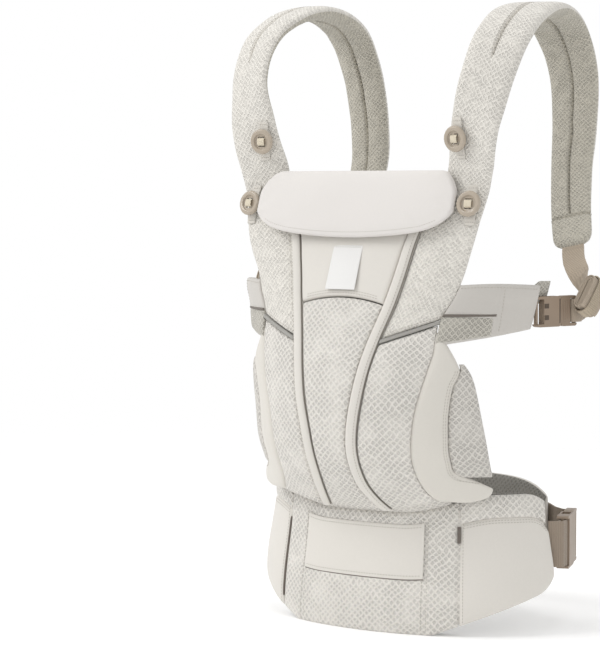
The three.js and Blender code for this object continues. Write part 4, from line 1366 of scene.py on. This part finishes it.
@dataclass
class WaistClosure:
    """The webbing, slider, back pad and side-release buckle that close the belt."""

    pad_from: float = 360.0
    web_in: float = -9.2
    thickness: float = 17.0
    middle: float = 106.0
    half: float = 46.0
    web_height: float = 96.0
    web_still: float = 384.0
    web_moving: float = 330.0

    def _end(self, reach: Array) -> Array:
        """0 over most of the pad's length and 1 at its two ends."""
        return np.abs(2 * (reach - self.pad_from) / (RING.length - 2 * self.pad_from) - 1) ** 4

    def build(self) -> None:
        """Makes every piece."""
        edge = lambda way: (lambda r: self.middle + way * self.half * (1 - 0.34 * self._end(r))
                            - 3 * self._end(r))
        share = lambda r, z: (z - self.middle + 3 * self._end(r)) / (self.half * (1 - 0.34 * self._end(r)))
        pad = Patch("lumbar_cushion", lambda r, z, o: RING.point(r, z, self.web_in + o),
                    (level(self.pad_from), level(RING.length - self.pad_from)), (edge(-1), edge(1)),
                    Pad(self.thickness, -0.6, 0.4, 8.0, 2.6, 0.0), (44, 18), ("plain", "lining"),
                    thick=lambda r, z: (self.thickness - 1.5) * (1 - 0.4 * np.clip(share(r, z), -1, 1) ** 4)
                    * (1 - 0.5 * self._end(r)), edge_weight=0.4)
        pad.sew(ROOT, "lumbar_pad", fill=0.6, stuffing=Stuffing(cap=3.0))
        # The waist bands take the darker copy of the webbing, which is painted shade.
        for node in ("waist_webbing_right", "waist_webbing_tail"):
            woven(node, "belt_web")
        still, moving = (placed(RING.point(np.array(at), np.array(self.web_height), np.array(-6.0)))
                         for at in (self.web_still, self.web_moving))
        woven("waist_webbing_left", "belt_web", pulled=Pull(body_of("waist_plug"), still, moving))
        for node in ("waist_socket", "waist_plug", "waist_latch_upper", "waist_latch_lower",
                     "waist_slider"):
            moulded(node, bevel=0.9)


# ---- Front panel --------------------------------------------------------------------------


@dataclass
class Panel:
    """The shaped front: mesh below, plain cloth above an arched seam, and raised ribs."""

    foot: float = 133.0
    top: float = 482.0
    rib_width: float = 13.0
    gap: float = 1.0
    piping_height: float = 4.0
    piping_ends: tuple[float, float] = (319.0, 341.0)
    waist_reach: float = 120.0
    arch_top: float = 366.0
    arch_half: float = 54.0
    arch_fall: float = 8.0
    foot_rise: float = 12.0
    tag_half: float = 19.0
    tag_ends: tuple[float, float] = (372.0, 420.0)
    wing_end: float = 228.0
    wing_split: float = 348.0
    pocket_end: float = 177.0

    def arch(self, reach: Array) -> Array:
        """Height of the seam between the mesh and the plain cloth."""
        return self.arch_top - self.arch_fall * (np.asarray(reach) / self.arch_half) ** 2

    def inner(self, z: Array) -> Array:
        """The rib's inner edge."""
        return PANEL.rib(z) - self.rib_width / 2 - self.gap / 2

    def outer(self, z: Array) -> Array:
        """The rib's outer edge."""
        return PANEL.rib(z) + self.rib_width / 2 + self.gap / 2

    def piping(self, reach: Array) -> Array:
        """Height of the piping's middle."""
        low, high = self.piping_ends
        return mix(low, high, np.clip((np.abs(reach) - 56) / (self.waist_reach - 56), 0, 1))

    def side_foot(self, reach: Array) -> Array:
        """The lower edge beside the ribs."""
        return self.foot + self.foot_rise * smoothstep(np.abs(reach), 40, 112)

    def build(self) -> None:
        """Makes every piece."""
        left = lambda z: -self.inner(z)
        Patch("front_mesh", on_panel, (left, self.inner),
              (level(self.foot), lambda r: self.arch(r) - self.gap / 2),
              Pad(9, 0.0, 1.4, 5.0, 2.6), (34, 64), ("mesh",),
              relief=lambda r, z, o: 0.5 * ripple(r, z, 70.0, 7.0)).sew(ROOT, "centre_mesh")
        top = Patch("front_top", on_panel, (left, self.inner),
                    (lambda r: self.arch(r) + self.gap / 2, level(self.top)),
                    Pad(9, 0.6, 1.6, 5.0, 2.4), (34, 30), ("plain",),
                    relief=lambda r, z, o: 0.5 * ripple(r, z, 60.0, 9.0)).sew(ROOT, "centre_top")
        reach = np.linspace(-46, 46, 90)
        cloth = Cloth(top)
        for row, lift in enumerate((3.4, 6.2)):
            cloth.row(f"front_top_hem_{row}", placed(on_panel(reach, self.arch(reach) + lift, reach * 0 + 2)),
                      ROOT)
        for side in Side:
            self.half(side)
        Patch("seat_lining", on_panel,
              (lambda z: -np.minimum(self.waist_reach - 6, PANEL.leg_front(z) - 5),
               lambda z: np.minimum(self.waist_reach - 6, PANEL.leg_front(z) - 5)),
              (level(self.foot + 8), level(470)), Pad(2.4, -10.6, 0.0, 4.0, 0.6, 0.2), (40, 60),
              ("lining",)).lay(ROOT, "stretched", "panel_lining")
        low, high = self.tag_ends
        tag = Patch("care_tag", lambda r, z, o: on_panel(r, z, 1.6 + 3 * (high - z) / (high - low) + o),
                    (level(-self.tag_half), level(self.tag_half)), (level(low), level(high)),
                    Pad(0.9, 0.6, 0.2, 1.0, 0.2, 0.1), (14, 18), ("label",),
                    relief=lambda r, z, o: 0.35 * ripple(r, z, 30.0, 2.0))
        piece = tag.lay(ROOT, "hung", "label")
        reach = np.linspace(-17, 17, 40)
        line = placed(on_panel(reach, reach * 0 + high - 2, reach * 0 + 4))
        Cloth(piece).row("care_tag_stitch", line, ROOT, pitch=2.6, size=0.3)

    def half(self, side: Side) -> None:
        """The pieces beside the middle on one side."""
        pipe, rib_half = self.piping_height / 2, self.rib_width / 2
        rib = Patch(f"rib_cord_{side.word}", on_panel,
                    (lambda z: PANEL.rib(z) - rib_half, lambda z: PANEL.rib(z) + rib_half),
                    (level(self.foot), level(self.top)), Pad(11, 2.0, 1.0, 5.0, 3.0), (10, 90), ("plain",),
                    side).sew(ROOT, f"rib_{side.word}", fill=0.8)
        z = np.linspace(self.foot + 3, self.top - 16, 260)
        line = placed(flipped(on_panel(PANEL.rib(z) + 3.6, z, z * 0 + 2), side))
        Cloth(rib).row(f"rib_stitch_{side.word}", line, ROOT)
        # A thin dark strip on each rib's side away from the light is painted shadow where the rib meets the
        # mesh.
        way = 1 if side is Side.RIGHT else -1
        edge = lambda z: PANEL.rib(z) + way * (rib_half - 0.2)
        Patch(f"rib_shadow_{side.word}", on_panel, (lambda z: edge(z) - 0.45, lambda z: edge(z) + 0.45),
              (level(self.foot + 2), level(self.top - 14)), Pad(2.0, 0.5, 0.2, 0.5, 0.3, 0.0), (2, 90),
              ("seam",), side).sew(ROOT, fill=None)
        Patch(f"side_mesh_{side.word}_cloth", on_panel, (self.outer, lambda z: PANEL.leg_front(z) + 0.3),
              (self.side_foot, lambda r: self.piping(r) - pipe - self.gap / 2), Pad(9, 0.0, 1.6, 6.0, 2.6),
              (26, 56), ("mesh",), side,
              relief=lambda r, z, o: 0.8 * ripple(r, z, 55.0, 4.0 + side.value)).sew(
                  ROOT, f"side_mesh_{side.word}")
        Patch(f"waist_ribbon_{side.word}", on_panel, (self.outer, level(self.waist_reach)),
              (lambda r: self.piping(r) - pipe, lambda r: self.piping(r) + pipe),
              Pad(9, 1.3, 0.3, 1.4, 0.9), (26, 6), ("piping",), side,
              relief=lambda r, z, o: -0.9 * np.exp(-((z - self.piping(r)) / 0.5) ** 2)).sew(
                  ROOT, f"piping_{side.word}", fill=None)
        self.leg(side)
        self.wing(side)

    def leg(self, side: Side) -> None:
        """The padded edge and the mesh gusset of one leg opening."""
        turn = lambda z: smoothstep(z, 160, 172)
        seam = lambda z: mix(PANEL.leg_edge(z), PANEL.leg_seam(np.minimum(z, 300)) - 0.6, turn(z))
        top = lambda r: 331 - 0.9 * (np.abs(r) - 117) - 0.012 * (np.abs(r) - 117) ** 2
        pad = Patch(f"leg_cushion_{side.word}", on_panel, (lambda z: PANEL.leg_front(z) - 0.6, seam),
                    (level(145), top),
                    Pad(12, 0.0, 2.6, 8.0, 3.4, 3.0), (18, 48), ("pad", "lining"), side,
                    relief=lambda r, z, o: 0.7 * ripple(r, z, 34.0, 8.0 + side.value))
        piece = pad.sew(ROOT, f"leg_pad_{side.word}", fill=0.7, stuffing=Stuffing(cap=2.2))
        z = np.linspace(168, 290, 120)
        cloth = Cloth(piece)
        for row, back in enumerate((3.2, 6.2)):
            line = placed(flipped(on_panel(seam(z) - back, z, z * 0 + 2), side))
            cloth.row(f"leg_stitch_{side.word}_{row}", line, ROOT)
        gusset = Patch(f"leg_mesh_{side.word}", on_panel,
                       (lambda z: PANEL.leg_seam(z) - 1.0, lambda z: PANEL.leg_edge(z) + 0.5),
                       (level(173), level(296)), Pad(12, 0.4, 2.4, 8.0, 3.4, 4.0), (14, 32),
                       ("mesh_shade",), side)
        gusset.sew(ROOT, f"leg_gusset_{side.word}", fill=0.6, stuffing=Stuffing(cap=2.0))

    def wing(self, side: Side) -> None:
        """One side wing: plain cloth round a mesh pocket, with a lining that shows past its end."""
        end, split, pocket = self.wing_end, self.wing_split, self.pocket_end
        foot = lambda r: mix(316.0, 331.0, (r - self.waist_reach) / (end - self.waist_reach))
        top = lambda r: 379 + 2 * np.sin((r - self.waist_reach) / 30)
        start = lambda z: np.maximum(PANEL.strap_edge(np.minimum(z, 400)), self.waist_reach - 2.4) + 0.2
        # The wing's cloth takes the darker copy of the plain cloth, which is painted shade.
        body = Patch(f"wing_cloth_{side.word}", on_wing, (start, level(end)), (foot, top),
                     Pad(6.6, -0.4, 1.0, 5.0, 1.8, 0.8), (56, 26), ("wing",), side,
                     relief=lambda r, z, o: 0.5 * ripple(r, z, 40.0, 3.0 + side.value)
                     - 1.0 * np.exp(-((r - 181) / 1.6) ** 2))
        piece = body.sew(ROOT, f"wing_{side.word}", fill=0.4)
        # The pocket's mesh is the darker copy, painted shade.
        Patch(f"wing_pocket_{side.word}", on_wing, (start, level(pocket)),
              (lambda r: foot(r) + 2.5, level(split - 1.5)), Pad(3.0, 0.9, 0.8, 4.0, 1.2, 0.0), (28, 14),
              ("pocket",), side).sew(ROOT, f"wing_mesh_{side.word}", fill=0.3)
        Patch(f"wing_piping_{side.word}", on_wing, (start, level(pocket + 2)),
              (level(split - 1.6), level(split + 1.2)), Pad(2.0, 1.3, 0.4, 1.0, 0.8, 0.0), (28, 4),
              ("dark",), side).sew(ROOT, fill=None)
        cloth, reach = Cloth(piece), np.linspace(self.waist_reach + 16, end - 4, 120)
        line = placed(flipped(on_wing(reach, top(reach) - 3.4, reach * 0 + 1), side))
        cloth.row(f"wing_hem_{side.word}", line, ROOT)
        z = np.linspace(330, 376, 40)
        line = placed(flipped(on_wing(z * 0 + 184.5, z, z * 0 + 1), side))
        cloth.row(f"wing_stitch_{side.word}", line, ROOT)
        Patch(f"wing_lining_{side.word}", on_wing, (level(150), level(251)),
              (level(355), lambda r: top(r) - 4 + 7 * smoothstep(r, 222, 234)),
              Pad(1.6, -9.8, 0.0, 3.0, 0.3, 0.0), (40, 10), ("pocket",), side).lay(ROOT, "stretched")


# ---- Head support -------------------------------------------------------------------------


@dataclass
class HeadSupport:
    """The smooth padded flap, folded down in front of the neck between the straps."""

    half_width: float = 128.0
    straight: float = 104.0
    top: float = 501.0
    depth: float = 72.0
    front: float = 126.0
    lean: float = 28.0
    hinge_half: float = 92.0
    hinge_foot: float = 476.0
    hinge_pull: float = 14.0
    hinge_thickness: float = 1.6
    hinge_rows: tuple[int, int] = (3, 14)
    body: str = "head_support"

    def place(self, x: Array, z: Array, out: Array) -> Array:
        """The flap's outer face, which leans out towards its foot."""
        down = np.maximum(0.0, (self.top - z) / self.depth)
        y = -self.front - self.lean * down ** 0.85 + 3 * (x / self.half_width) ** 2 - out
        return points(x, y, z)

    def build(self) -> None:
        """Makes the flap and its edge seam."""
        head = lambda x: self.top - 24 * np.maximum(0.0, (np.abs(x) - self.straight)
                                                    / (self.half_width - self.straight)) ** 2.2
        foot = lambda x: (self.top - self.depth + 12 * (x / self.half_width) ** 2
                          + 16 * np.abs(x / self.half_width) ** 9)
        flap = Patch("head_flap", self.place, (level(-self.half_width), level(self.half_width)), (foot, head),
                     Pad(9.0, -0.8, 1.6, 6.0, 3.2, 3.2), (64, 22), ("smooth",),
                     relief=lambda x, z, o: 0.9 * ripple(x, z, 110.0, 12.0))
        piece = flap.sew(self.body, "head_flap_front", "head_flap_foam", "head_flap_back", fill=0.6,
                         stuffing=Stuffing(cap=1.4))
        x = np.linspace(-112, 112, 300)
        line = placed(self.place(x, foot(x) + 6.0, x * 0 + 1))
        Cloth(piece).row("head_flap_stitch", line, self.body, pitch=3.0, size=0.3)
        self.hinge_cloth()

    def hinge_cloth(self) -> None:
        """A strip of cloth from the panel's top edge to the flap's fold.

        Its line is a cubic Bezier that leaves the panel upwards and enters the flap forwards.
        """
        u, x = np.meshgrid(np.linspace(0, 1, 17), np.linspace(-1, 1, 48) * self.hinge_half, indexing="ij")
        foot = on_panel(x, np.full_like(x, self.hinge_foot), np.full_like(x, -5.0))
        head = self.place(x, np.full_like(x, self.top - 6.0), np.full_like(x, -5.0))
        rise, reach = np.array([0.0, 0.0, self.hinge_pull]), np.array([0.0, self.hinge_pull, 0.0])
        t = u[..., None]
        at = ((1 - t) ** 3 * foot + 3 * (1 - t) ** 2 * t * (foot + rise)
              + 3 * (1 - t) * t ** 2 * (head + reach) + t ** 3 * head)
        normal = unit(np.cross(np.gradient(at, axis=1), np.gradient(at, axis=0)))
        steps = np.linalg.norm(np.diff(at, axis=0), axis=2)
        walk = np.insert(np.cumsum(steps, axis=0), 0, 0.0, axis=0)
        faces = (placed(at + way * self.hinge_thickness / 2 * normal) for way in (1, -1))
        strip = Shell("head_flap_hinge", *faces,
                      np.stack([x, walk], -1) * MM, ("plain",)).build()
        middle = at[:, at.shape[1] // 2]
        start, end = self.hinge_rows
        tuple(placed(middle[start]))
        tuple(placed(middle[end]))
        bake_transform(strip)


# ---- Shoulder straps ----------------------------------------------------------------------


@dataclass
class Strap:
    """One padded shoulder strap with its buttons, webbing, rolled spare webbing and buckle."""

    side: Side
    rows: int = 150
    columns: int = 56
    lift: float = 8.0
    round_end: float = 16.0
    split: float = 480.0
    seams: tuple[float, float] = (0.232, 0.45)
    cross_seam: float = 0.935
    bar_at: float = 33.0
    bend_share: float = 0.72
    panel: Panel = field(default_factory=Panel)

    def frame_at(self, t: Array) -> tuple[Array, Array, Array, Array]:
        """The strap's place and directions, with this side's lift, in right-hand coordinates."""
        place, along, across, out = STRAP.frame_at(t)
        if self.side is Side.LEFT:
            place[..., 2] += self.lift * smoothstep(place[..., 2], 500, 680)
        return place, along, across, out

    def stations(self) -> Array:
        """Places along the loop, closer together at the seam across its lower end."""
        seam = self.cross_seam + np.linspace(-0.007, 0.007, 11)
        even = np.linspace(0.04, 1, self.rows)[1:]
        return np.sort(np.concatenate([even[np.abs(even - self.cross_seam) > 0.009], seam]))

    def spacing(self) -> Array:
        """Places across the strap from -1 to 1, closer together at the edges and at the middle seam."""
        half = shares(self.columns // 2, 0.85)
        return np.concatenate([-half[:0:-1], half])

    def on_root(self, reach_share: Array, z: Array, out: Array) -> Array:
        """The strap's root, which is part of the front panel beside the rib."""
        return on_panel(mix(self.panel.outer(z), PANEL.strap_edge(z), reach_share), z, out)

    def face(self, t: Array, s: Array, way: float) -> Array:
        """Points on the outer face for way 1 or the inner face for way -1.

        Args:
            t: Shares of the length above the panel; below 0 the strap is part of the panel.
            s: From -1 to 1 across.
            way: Which face.

        Returns:
            Points in metres.
        """
        place, _, across, out = self.frame_at(t)
        left_over, z = (1 - t) * STRAP.length, self.split + t * STRAP.length
        end = rounded(left_over, self.round_end)
        half = STRAP.half_width(t) * (0.55 + 0.45 * end) - 0.6
        full = mix(10.0, STRAP.thickness(t), smoothstep(t, -0.03, 0.05))
        full = full * (0.2 + 0.8 * rounded(left_over, 9.0))
        thick = full * (0.10 + 0.90 * np.sqrt(np.maximum(0.0, 1 - np.abs(s) ** 4.5)))
        start = self.seams[0] if way > 0 else self.seams[1]
        middle = np.exp(-((s * half) / 1.35) ** 2) * smoothstep(t, start, start + 0.015)
        middle = middle * (1 - smoothstep(t, self.cross_seam - 0.008, self.cross_seam - 0.003))
        cross = np.exp(-(((t - self.cross_seam) * STRAP.length) / 2.2) ** 2)
        fold = ripple(s * half, t * STRAP.length, 42.0, 3.0 + way + self.side.value)
        lift = thick / 2 + 0.6 * fold - 4.4 * middle - 2.8 * cross - 0.4
        loop = place + across * (s * half)[..., None] + out * (way * lift)[..., None]
        depth = lift - full / 2
        root = self.on_root((s + 1) / 2, z, np.where(way > 0, 1.0 + depth, -9.0 - depth))
        p = mix(root, loop, smoothstep(z, 446, 512)[..., None])
        return placed(flipped(p, self.side))

    def build(self) -> None:
        """Makes every piece."""
        word = self.side.word
        across = self.spacing()
        z = np.full(self.columns + 1, 330.0)
        for _ in range(6):
            reach = mix(self.panel.outer(z), PANEL.strap_edge(z), (across + 1) / 2)
            z = self.panel.piping(reach) + self.panel.piping_height / 2 + self.panel.gap / 2
        low = (z - self.split) / STRAP.length
        t = np.concatenate([mix(low, 0.04, np.linspace(0, 1, 31)[:, None]) + across * 0,
                            self.stations()[:, None] + across * 0])
        s = across + t * 0
        uv = np.stack([s * STRAP.half_width(t), t * STRAP.length], -1) * MM
        # The inner face takes the darker copy of the knit, which is painted shade.
        piece = Shell(f"shoulder_pad_{word}", self.face(t, s, 1.0), self.face(t, s, -1.0), uv,
                      ("knit", "knit_inner_painted_shade")).build()
        Stuffing(cap=2.2).settle(piece, edge_mask(s.shape))
        subdivided(piece)
        finish_piece(piece, ROOT, f"strap_{word}", f"strap_base_{word}", fill=0.7)
        cloth = Cloth(piece)
        row = np.linspace(self.seams[0] + 0.02, self.cross_seam - 0.01, 500)[:, None]
        for name, way, start in (("outer", 1.0, 0.0), ("inner", -1.0, self.seams[1])):
            at = row[row[:, 0] > start]
            for offset in (-0.1, 0.1):
                line = self.face(at, at * 0 + offset, way)[:, 0]
                cloth.row(f"strap_{name}_{word}_{'a' if offset < 0 else 'b'}", line, ROOT)
        low_row = mix(low[None], 0.04, 0.025)[0]
        line = self.face(low_row[None, 3:-3], across[None, 3:-3], 1.0)[0]
        cloth.row(f"strap_root_stitch_{word}", line, ROOT)
        self.tongue()
        self.buttons(cloth)
        self.webbing()

    def tongue(self) -> None:
        """The end of the webbing that is sewn into the strap's lower end."""
        t = np.array([0.972, 0.986, 0.996, 1.0, 1.0])
        place, along, across, out = self.frame_at(t)
        place = place + along * np.array([0, 0, 0, 0, 3.2])[:, None]
        turned = [unit(flipped(v, self.side)) for v in (across, out)]
        piece = sweep(f"webbing_tongue_{self.side.word}", placed(flipped(place, self.side)), *turned,
                      band_section(25.0, 2.2) * MM, ("webbing",))
        finish_piece(piece, ROOT)

    def buttons(self, cloth: Cloth) -> None:
        """Two glossy buttons, each on a cream tab sewn to the strap, with the tab's loop through it."""
        word = self.side.word
        for place in ("upper", "lower"):
            node = f"button_{place}_{word}"
            moulded(node, "button", 0.6)
            low, high = (np.array(v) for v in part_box(node))
            middle = (low + high) / 2
            spot, normal = (v[0] for v in cloth.snap(middle[None]))
            across = unit(np.cross([0.0, 0.0, 1.0], normal))
            up = np.cross(normal, across)
            u, v = grid(8, 30)
            wide = (u - 0.5) * 12.5 * MM * (1 - 0.12 * np.abs(2 * v - 1) ** 8)
            tall = (v - 0.5) * 44 * MM
            lift = (1.6 - 0.9 * smoothstep(np.abs(2 * v - 1), 0.55, 0.9)) * MM
            base = spot + wide[..., None] * across + tall[..., None] * up
            front, back = (base + (lift + extra * MM)[..., None] * normal for extra in (0.5, -0.5))
            tab = Shell(f"button_tab_{place}_{word}", front, back, np.stack([wide, tall], -1),
                        ("tape",)).build()
            finish_piece(tab, ROOT)
            for end in (-1, 1):
                line = (spot + np.linspace(-5, 5, 12)[:, None] * MM * across + end * 18.5 * MM * up
                        + 1.4 * MM * normal)
                stitches(f"button_tab_{place}_{word}_{'low' if end < 0 else 'high'}", line,
                         np.tile(normal, (12, 1)), ROOT, "thread", 2.4, 0.35)
            depth = float((middle - spot) @ normal)
            u, v = grid(8, 12)
            arch = (depth + (0.2 + 2.6 * rounded(4.3 * (1 - np.abs(2 * v - 1)), 3.0)) * MM)
            wide, tall = (u - 0.5) * 8.6 * MM, (v - 0.5) * 8.8 * MM
            base = spot + wide[..., None] * across + tall[..., None] * up
            front, back = (base + (arch + extra * MM)[..., None] * normal for extra in (0.45, -0.45))
            loop = Shell(f"button_loop_{place}_{word}", front, back, np.stack([wide, tall], -1),
                         ("cream",)).build()
            subdivided(loop)
            finish_piece(loop, body_of(node))
        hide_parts(f"button_tape_{word}")

    def directions(self) -> tuple[Array, Array, Array]:
        """The buckle's mouth in metres, the way its plug pulls out, and the way out of its face."""
        end = PANEL.lifted(np.array([228.0, 220.0]), np.array([349.0, 349.0]), np.array([-3.5, -3.5]),
                           PANEL.wing_bend)
        pull = unit(end[0] - end[1])
        out = np.cross(pull, [0.0, 0.0, 1.0])
        mouth = placed(flipped(end[0] + pull * 35.5, self.side))
        return mouth, flipped(pull, self.side), flipped(out, self.side)

    def webbing(self) -> None:
        """The buckle, the webbing to it, and the spare rolled up under an elastic loop."""
        word = self.side.word
        for node in ("socket", "plug", "latch_upper", "latch_lower"):
            moulded(f"shoulder_{node}_{word}", bevel=0.7)
        mouth, pull, out = self.directions()
        up = np.array([0.0, 0.0, 1.0])
        # Flat dark plates in the socket's two windows and a strip at its mouth are painted shade; the three
        # ridges on the plug are raised plastic.
        for name, node, at, rise, size, finish in (
                ("window_upper", "socket", -21.0, 6.2, (6.0, 5.0), "painted_recess_shade"),
                ("window_lower", "socket", -21.0, -6.2, (6.0, 5.0), "painted_recess_shade"),
                ("rim", "socket", -2.2, 0.0, (1.6, 27.0), "painted_recess_shade"),
                ("ridge_a", "plug", 4.6, 0.0, (1.2, 22.0), "buckle"),
                ("ridge_b", "plug", 7.4, 0.0, (1.2, 22.0), "buckle"),
                ("ridge_c", "plug", 10.2, 0.0, (1.2, 22.0), "buckle")):
            deep = 4.6 if node == "socket" else 3.4
            centre = mouth + (pull * at + up * rise + out * deep) * MM
            u, v = np.meshgrid(shares(4) - 0.5, shares(6) - 0.5)
            base = centre + (u[..., None] * pull * size[0] + v[..., None] * up * size[1]) * MM
            dome = rounded((0.5 - np.abs(u)) * size[0], 0.6) * rounded((0.5 - np.abs(v)) * size[1], 0.6)
            high = 0.12 if finish == "painted_recess_shade" else 0.7
            front, back = base + (dome * high * MM)[..., None] * out, base - 0.2 * MM * out
            detail = Shell(f"buckle_{name}_{word}", front, back, np.stack([u, v], -1), (finish,)).build()
            finish_piece(detail, body_of(f"shoulder_{node}_{word}"))
        bar = mouth + pull * self.bar_at * MM
        top = placed(flipped(STRAP.frame_at(np.array([1.0]))[0][0], self.side))
        woven(f"strap_webbing_{word}", "webbing", np.array([0.3 * self.side.value, 0.95, 0.0]),
              Pull(body_of(f"shoulder_plug_{word}"), top, mix(top, bar, self.bend_share)))
        self.roll()

    def roll(self) -> None:
        """A tight spiral of webbing, and the elastic band round it."""
        word = self.side.word
        low, high = (np.array(v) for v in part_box(f"webbing_roll_{word}"))
        _, pull, out = self.directions()
        slant = unit(0.55 * pull + 0.83 * np.array([0.0, 0.0, 1.0]))
        axis = np.cross(slant, out)
        turns, half, pitch = 3.4, 12.0, 2.15
        turn = np.arange(int(turns * 48)) / 48 * 2 * math.pi
        radius = 0.9 + pitch * turn / (2 * math.pi)
        shift = np.tanh(np.cos(turn) * 4.0) * half
        flat = np.stack([shift + radius * np.cos(turn), radius * np.sin(turn)], -1)
        path = (low + high) / 2 + (flat[:, :1] * slant + flat[:, 1:] * out) * MM
        along = unit(np.gradient(path, axis=0))
        across = np.tile(axis, (len(path), 1))
        outward = unit(np.cross(across, along))
        piece = sweep(f"spare_webbing_{word}", path, across, outward, band_section(25.0, 1.7) * MM,
                      ("webbing",))
        finish_piece(piece, body_of(f"webbing_roll_{word}"), f"webbing_roll_{word}")
        woven(f"roll_elastic_{word}", "elastic", slant)


# ---- Setting ------------------------------------------------------------------------------


@dataclass
class Studio:
    """A pale floor that fades into a white room, soft lamps, and the camera."""

    azimuth: float = 33.0
    distance: float = 2.7
    eye: float = 0.48
    lens: float = 133.3
    tilt: float = -3.175
    swing: float = 2.899
    ambient: float = 0.76

    def build(self) -> None:
        """Makes the floor, the lamps and the camera."""
        self.floor()
        self.lamps()
        turn, tilt = math.radians(self.azimuth), math.radians(self.tilt)
        data = bpy.data.cameras.new("camera")
        data.lens, data.sensor_width, data.clip_end = self.lens, 36.0, 100.0
        camera = bpy.data.objects.new("camera", data)
        camera.location = (self.distance * math.sin(turn), RING_Y - self.distance * math.cos(turn), self.eye)
        heading = turn + math.radians(self.swing)
        forward = Vector((-math.sin(heading) * math.cos(tilt), math.cos(heading) * math.cos(tilt),
                          math.sin(tilt)))
        camera.rotation_euler = forward.to_track_quat("-Z", "Y").to_euler()
        bpy.context.scene.collection.objects.link(camera)
        bpy.context.scene.camera = camera

    def floor(self) -> None:
        """A round pale floor whose rim fades out."""
        bench = Bench("floor_pale")
        apart = bench.node("ShaderNodeVectorMath", {"operation": "LENGTH"}, {0: bench.solid()}, 1)
        grain = bench.noise(3.0, 2.0)
        bench.set(Base_Color=bench.colours((0.94, 0.94, 0.938), (0.96, 0.96, 0.957), grain), Roughness=0.8,
                  Specular_IOR_Level=0.1, Emission_Color=(1.0, 1.0, 1.0), Emission_Strength=0.13)
        clear = bench.tree.nodes.new("ShaderNodeBsdfTransparent")
        fade = bench.tree.nodes.new("ShaderNodeMixShader")
        bench.feed(fade.inputs[0], apart.step(0.45, 2.4))
        bench.tree.links.new(bench.shader.outputs[0], fade.inputs[1])
        bench.tree.links.new(clear.outputs[0], fade.inputs[2])
        bench.tree.links.new(fade.outputs[0], bench.output.inputs["Surface"])
        mesh = bpy.data.meshes.new("floor")
        work = bmesh.new()
        bmesh.ops.create_circle(work, cap_ends=True, segments=64, radius=4.0)
        work.to_mesh(mesh)
        work.free()
        mesh.materials.append(bench.material)
        floor = bpy.data.objects.new("floor", mesh)
        bpy.context.scene.collection.objects.link(floor)
        floor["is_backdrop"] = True

    def lamps(self) -> None:
        """A white room and three wide soft lamps."""
        world = bpy.data.worlds.new("room")
        world.use_nodes = True
        nodes, links = world.node_tree.nodes, world.node_tree.links
        seen, glow = nodes.new("ShaderNodeLightPath"), nodes["Background"]
        level_mix = nodes.new("ShaderNodeMix")
        level_mix.inputs[2].default_value, level_mix.inputs[3].default_value = self.ambient, 1.0
        links.new(seen.outputs["Is Camera Ray"], level_mix.inputs[0])
        glow.inputs[0].default_value = (1.0, 1.0, 1.0, 1.0)
        links.new(level_mix.outputs[0], glow.inputs[1])
        bpy.context.scene.world = world
        bpy.context.scene.view_settings.view_transform = "Standard"
        for name, place, size, power in (("key", (-1.7, -1.6, 2.2), 1.5, 38.0),
                                         ("fill", (2.4, -1.8, 1.4), 2.0, 9.0),
                                         ("top", (0.0, 0.4, 2.6), 1.6, 10.0)):
            lamp = bpy.data.lights.new(name, "AREA")
            lamp.size, lamp.energy = size, power
            made = bpy.data.objects.new(name, lamp)
            made.location = place
            made.rotation_euler = (Vector((0, 0, 0.3)) - Vector(place)).to_track_quat("-Z", "Y").to_euler()
            bpy.context.scene.collection.objects.link(made)


def main() -> None:
    """Builds the carrier and its setting."""
    logging.basicConfig(level=logging.INFO, format="%(name)s: %(message)s")
    Studio().build()
    Belt().build()
    WaistClosure().build()
    Panel().build()
    HeadSupport().build()
    for side in Side:
        Strap(side).build()
    boxes = (("cad", CAD_BOX), ("visual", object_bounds()))
    sizes = {name: [list(corner) for corner in box] for name, box in boxes}


if __name__ == "__main__":
    main()
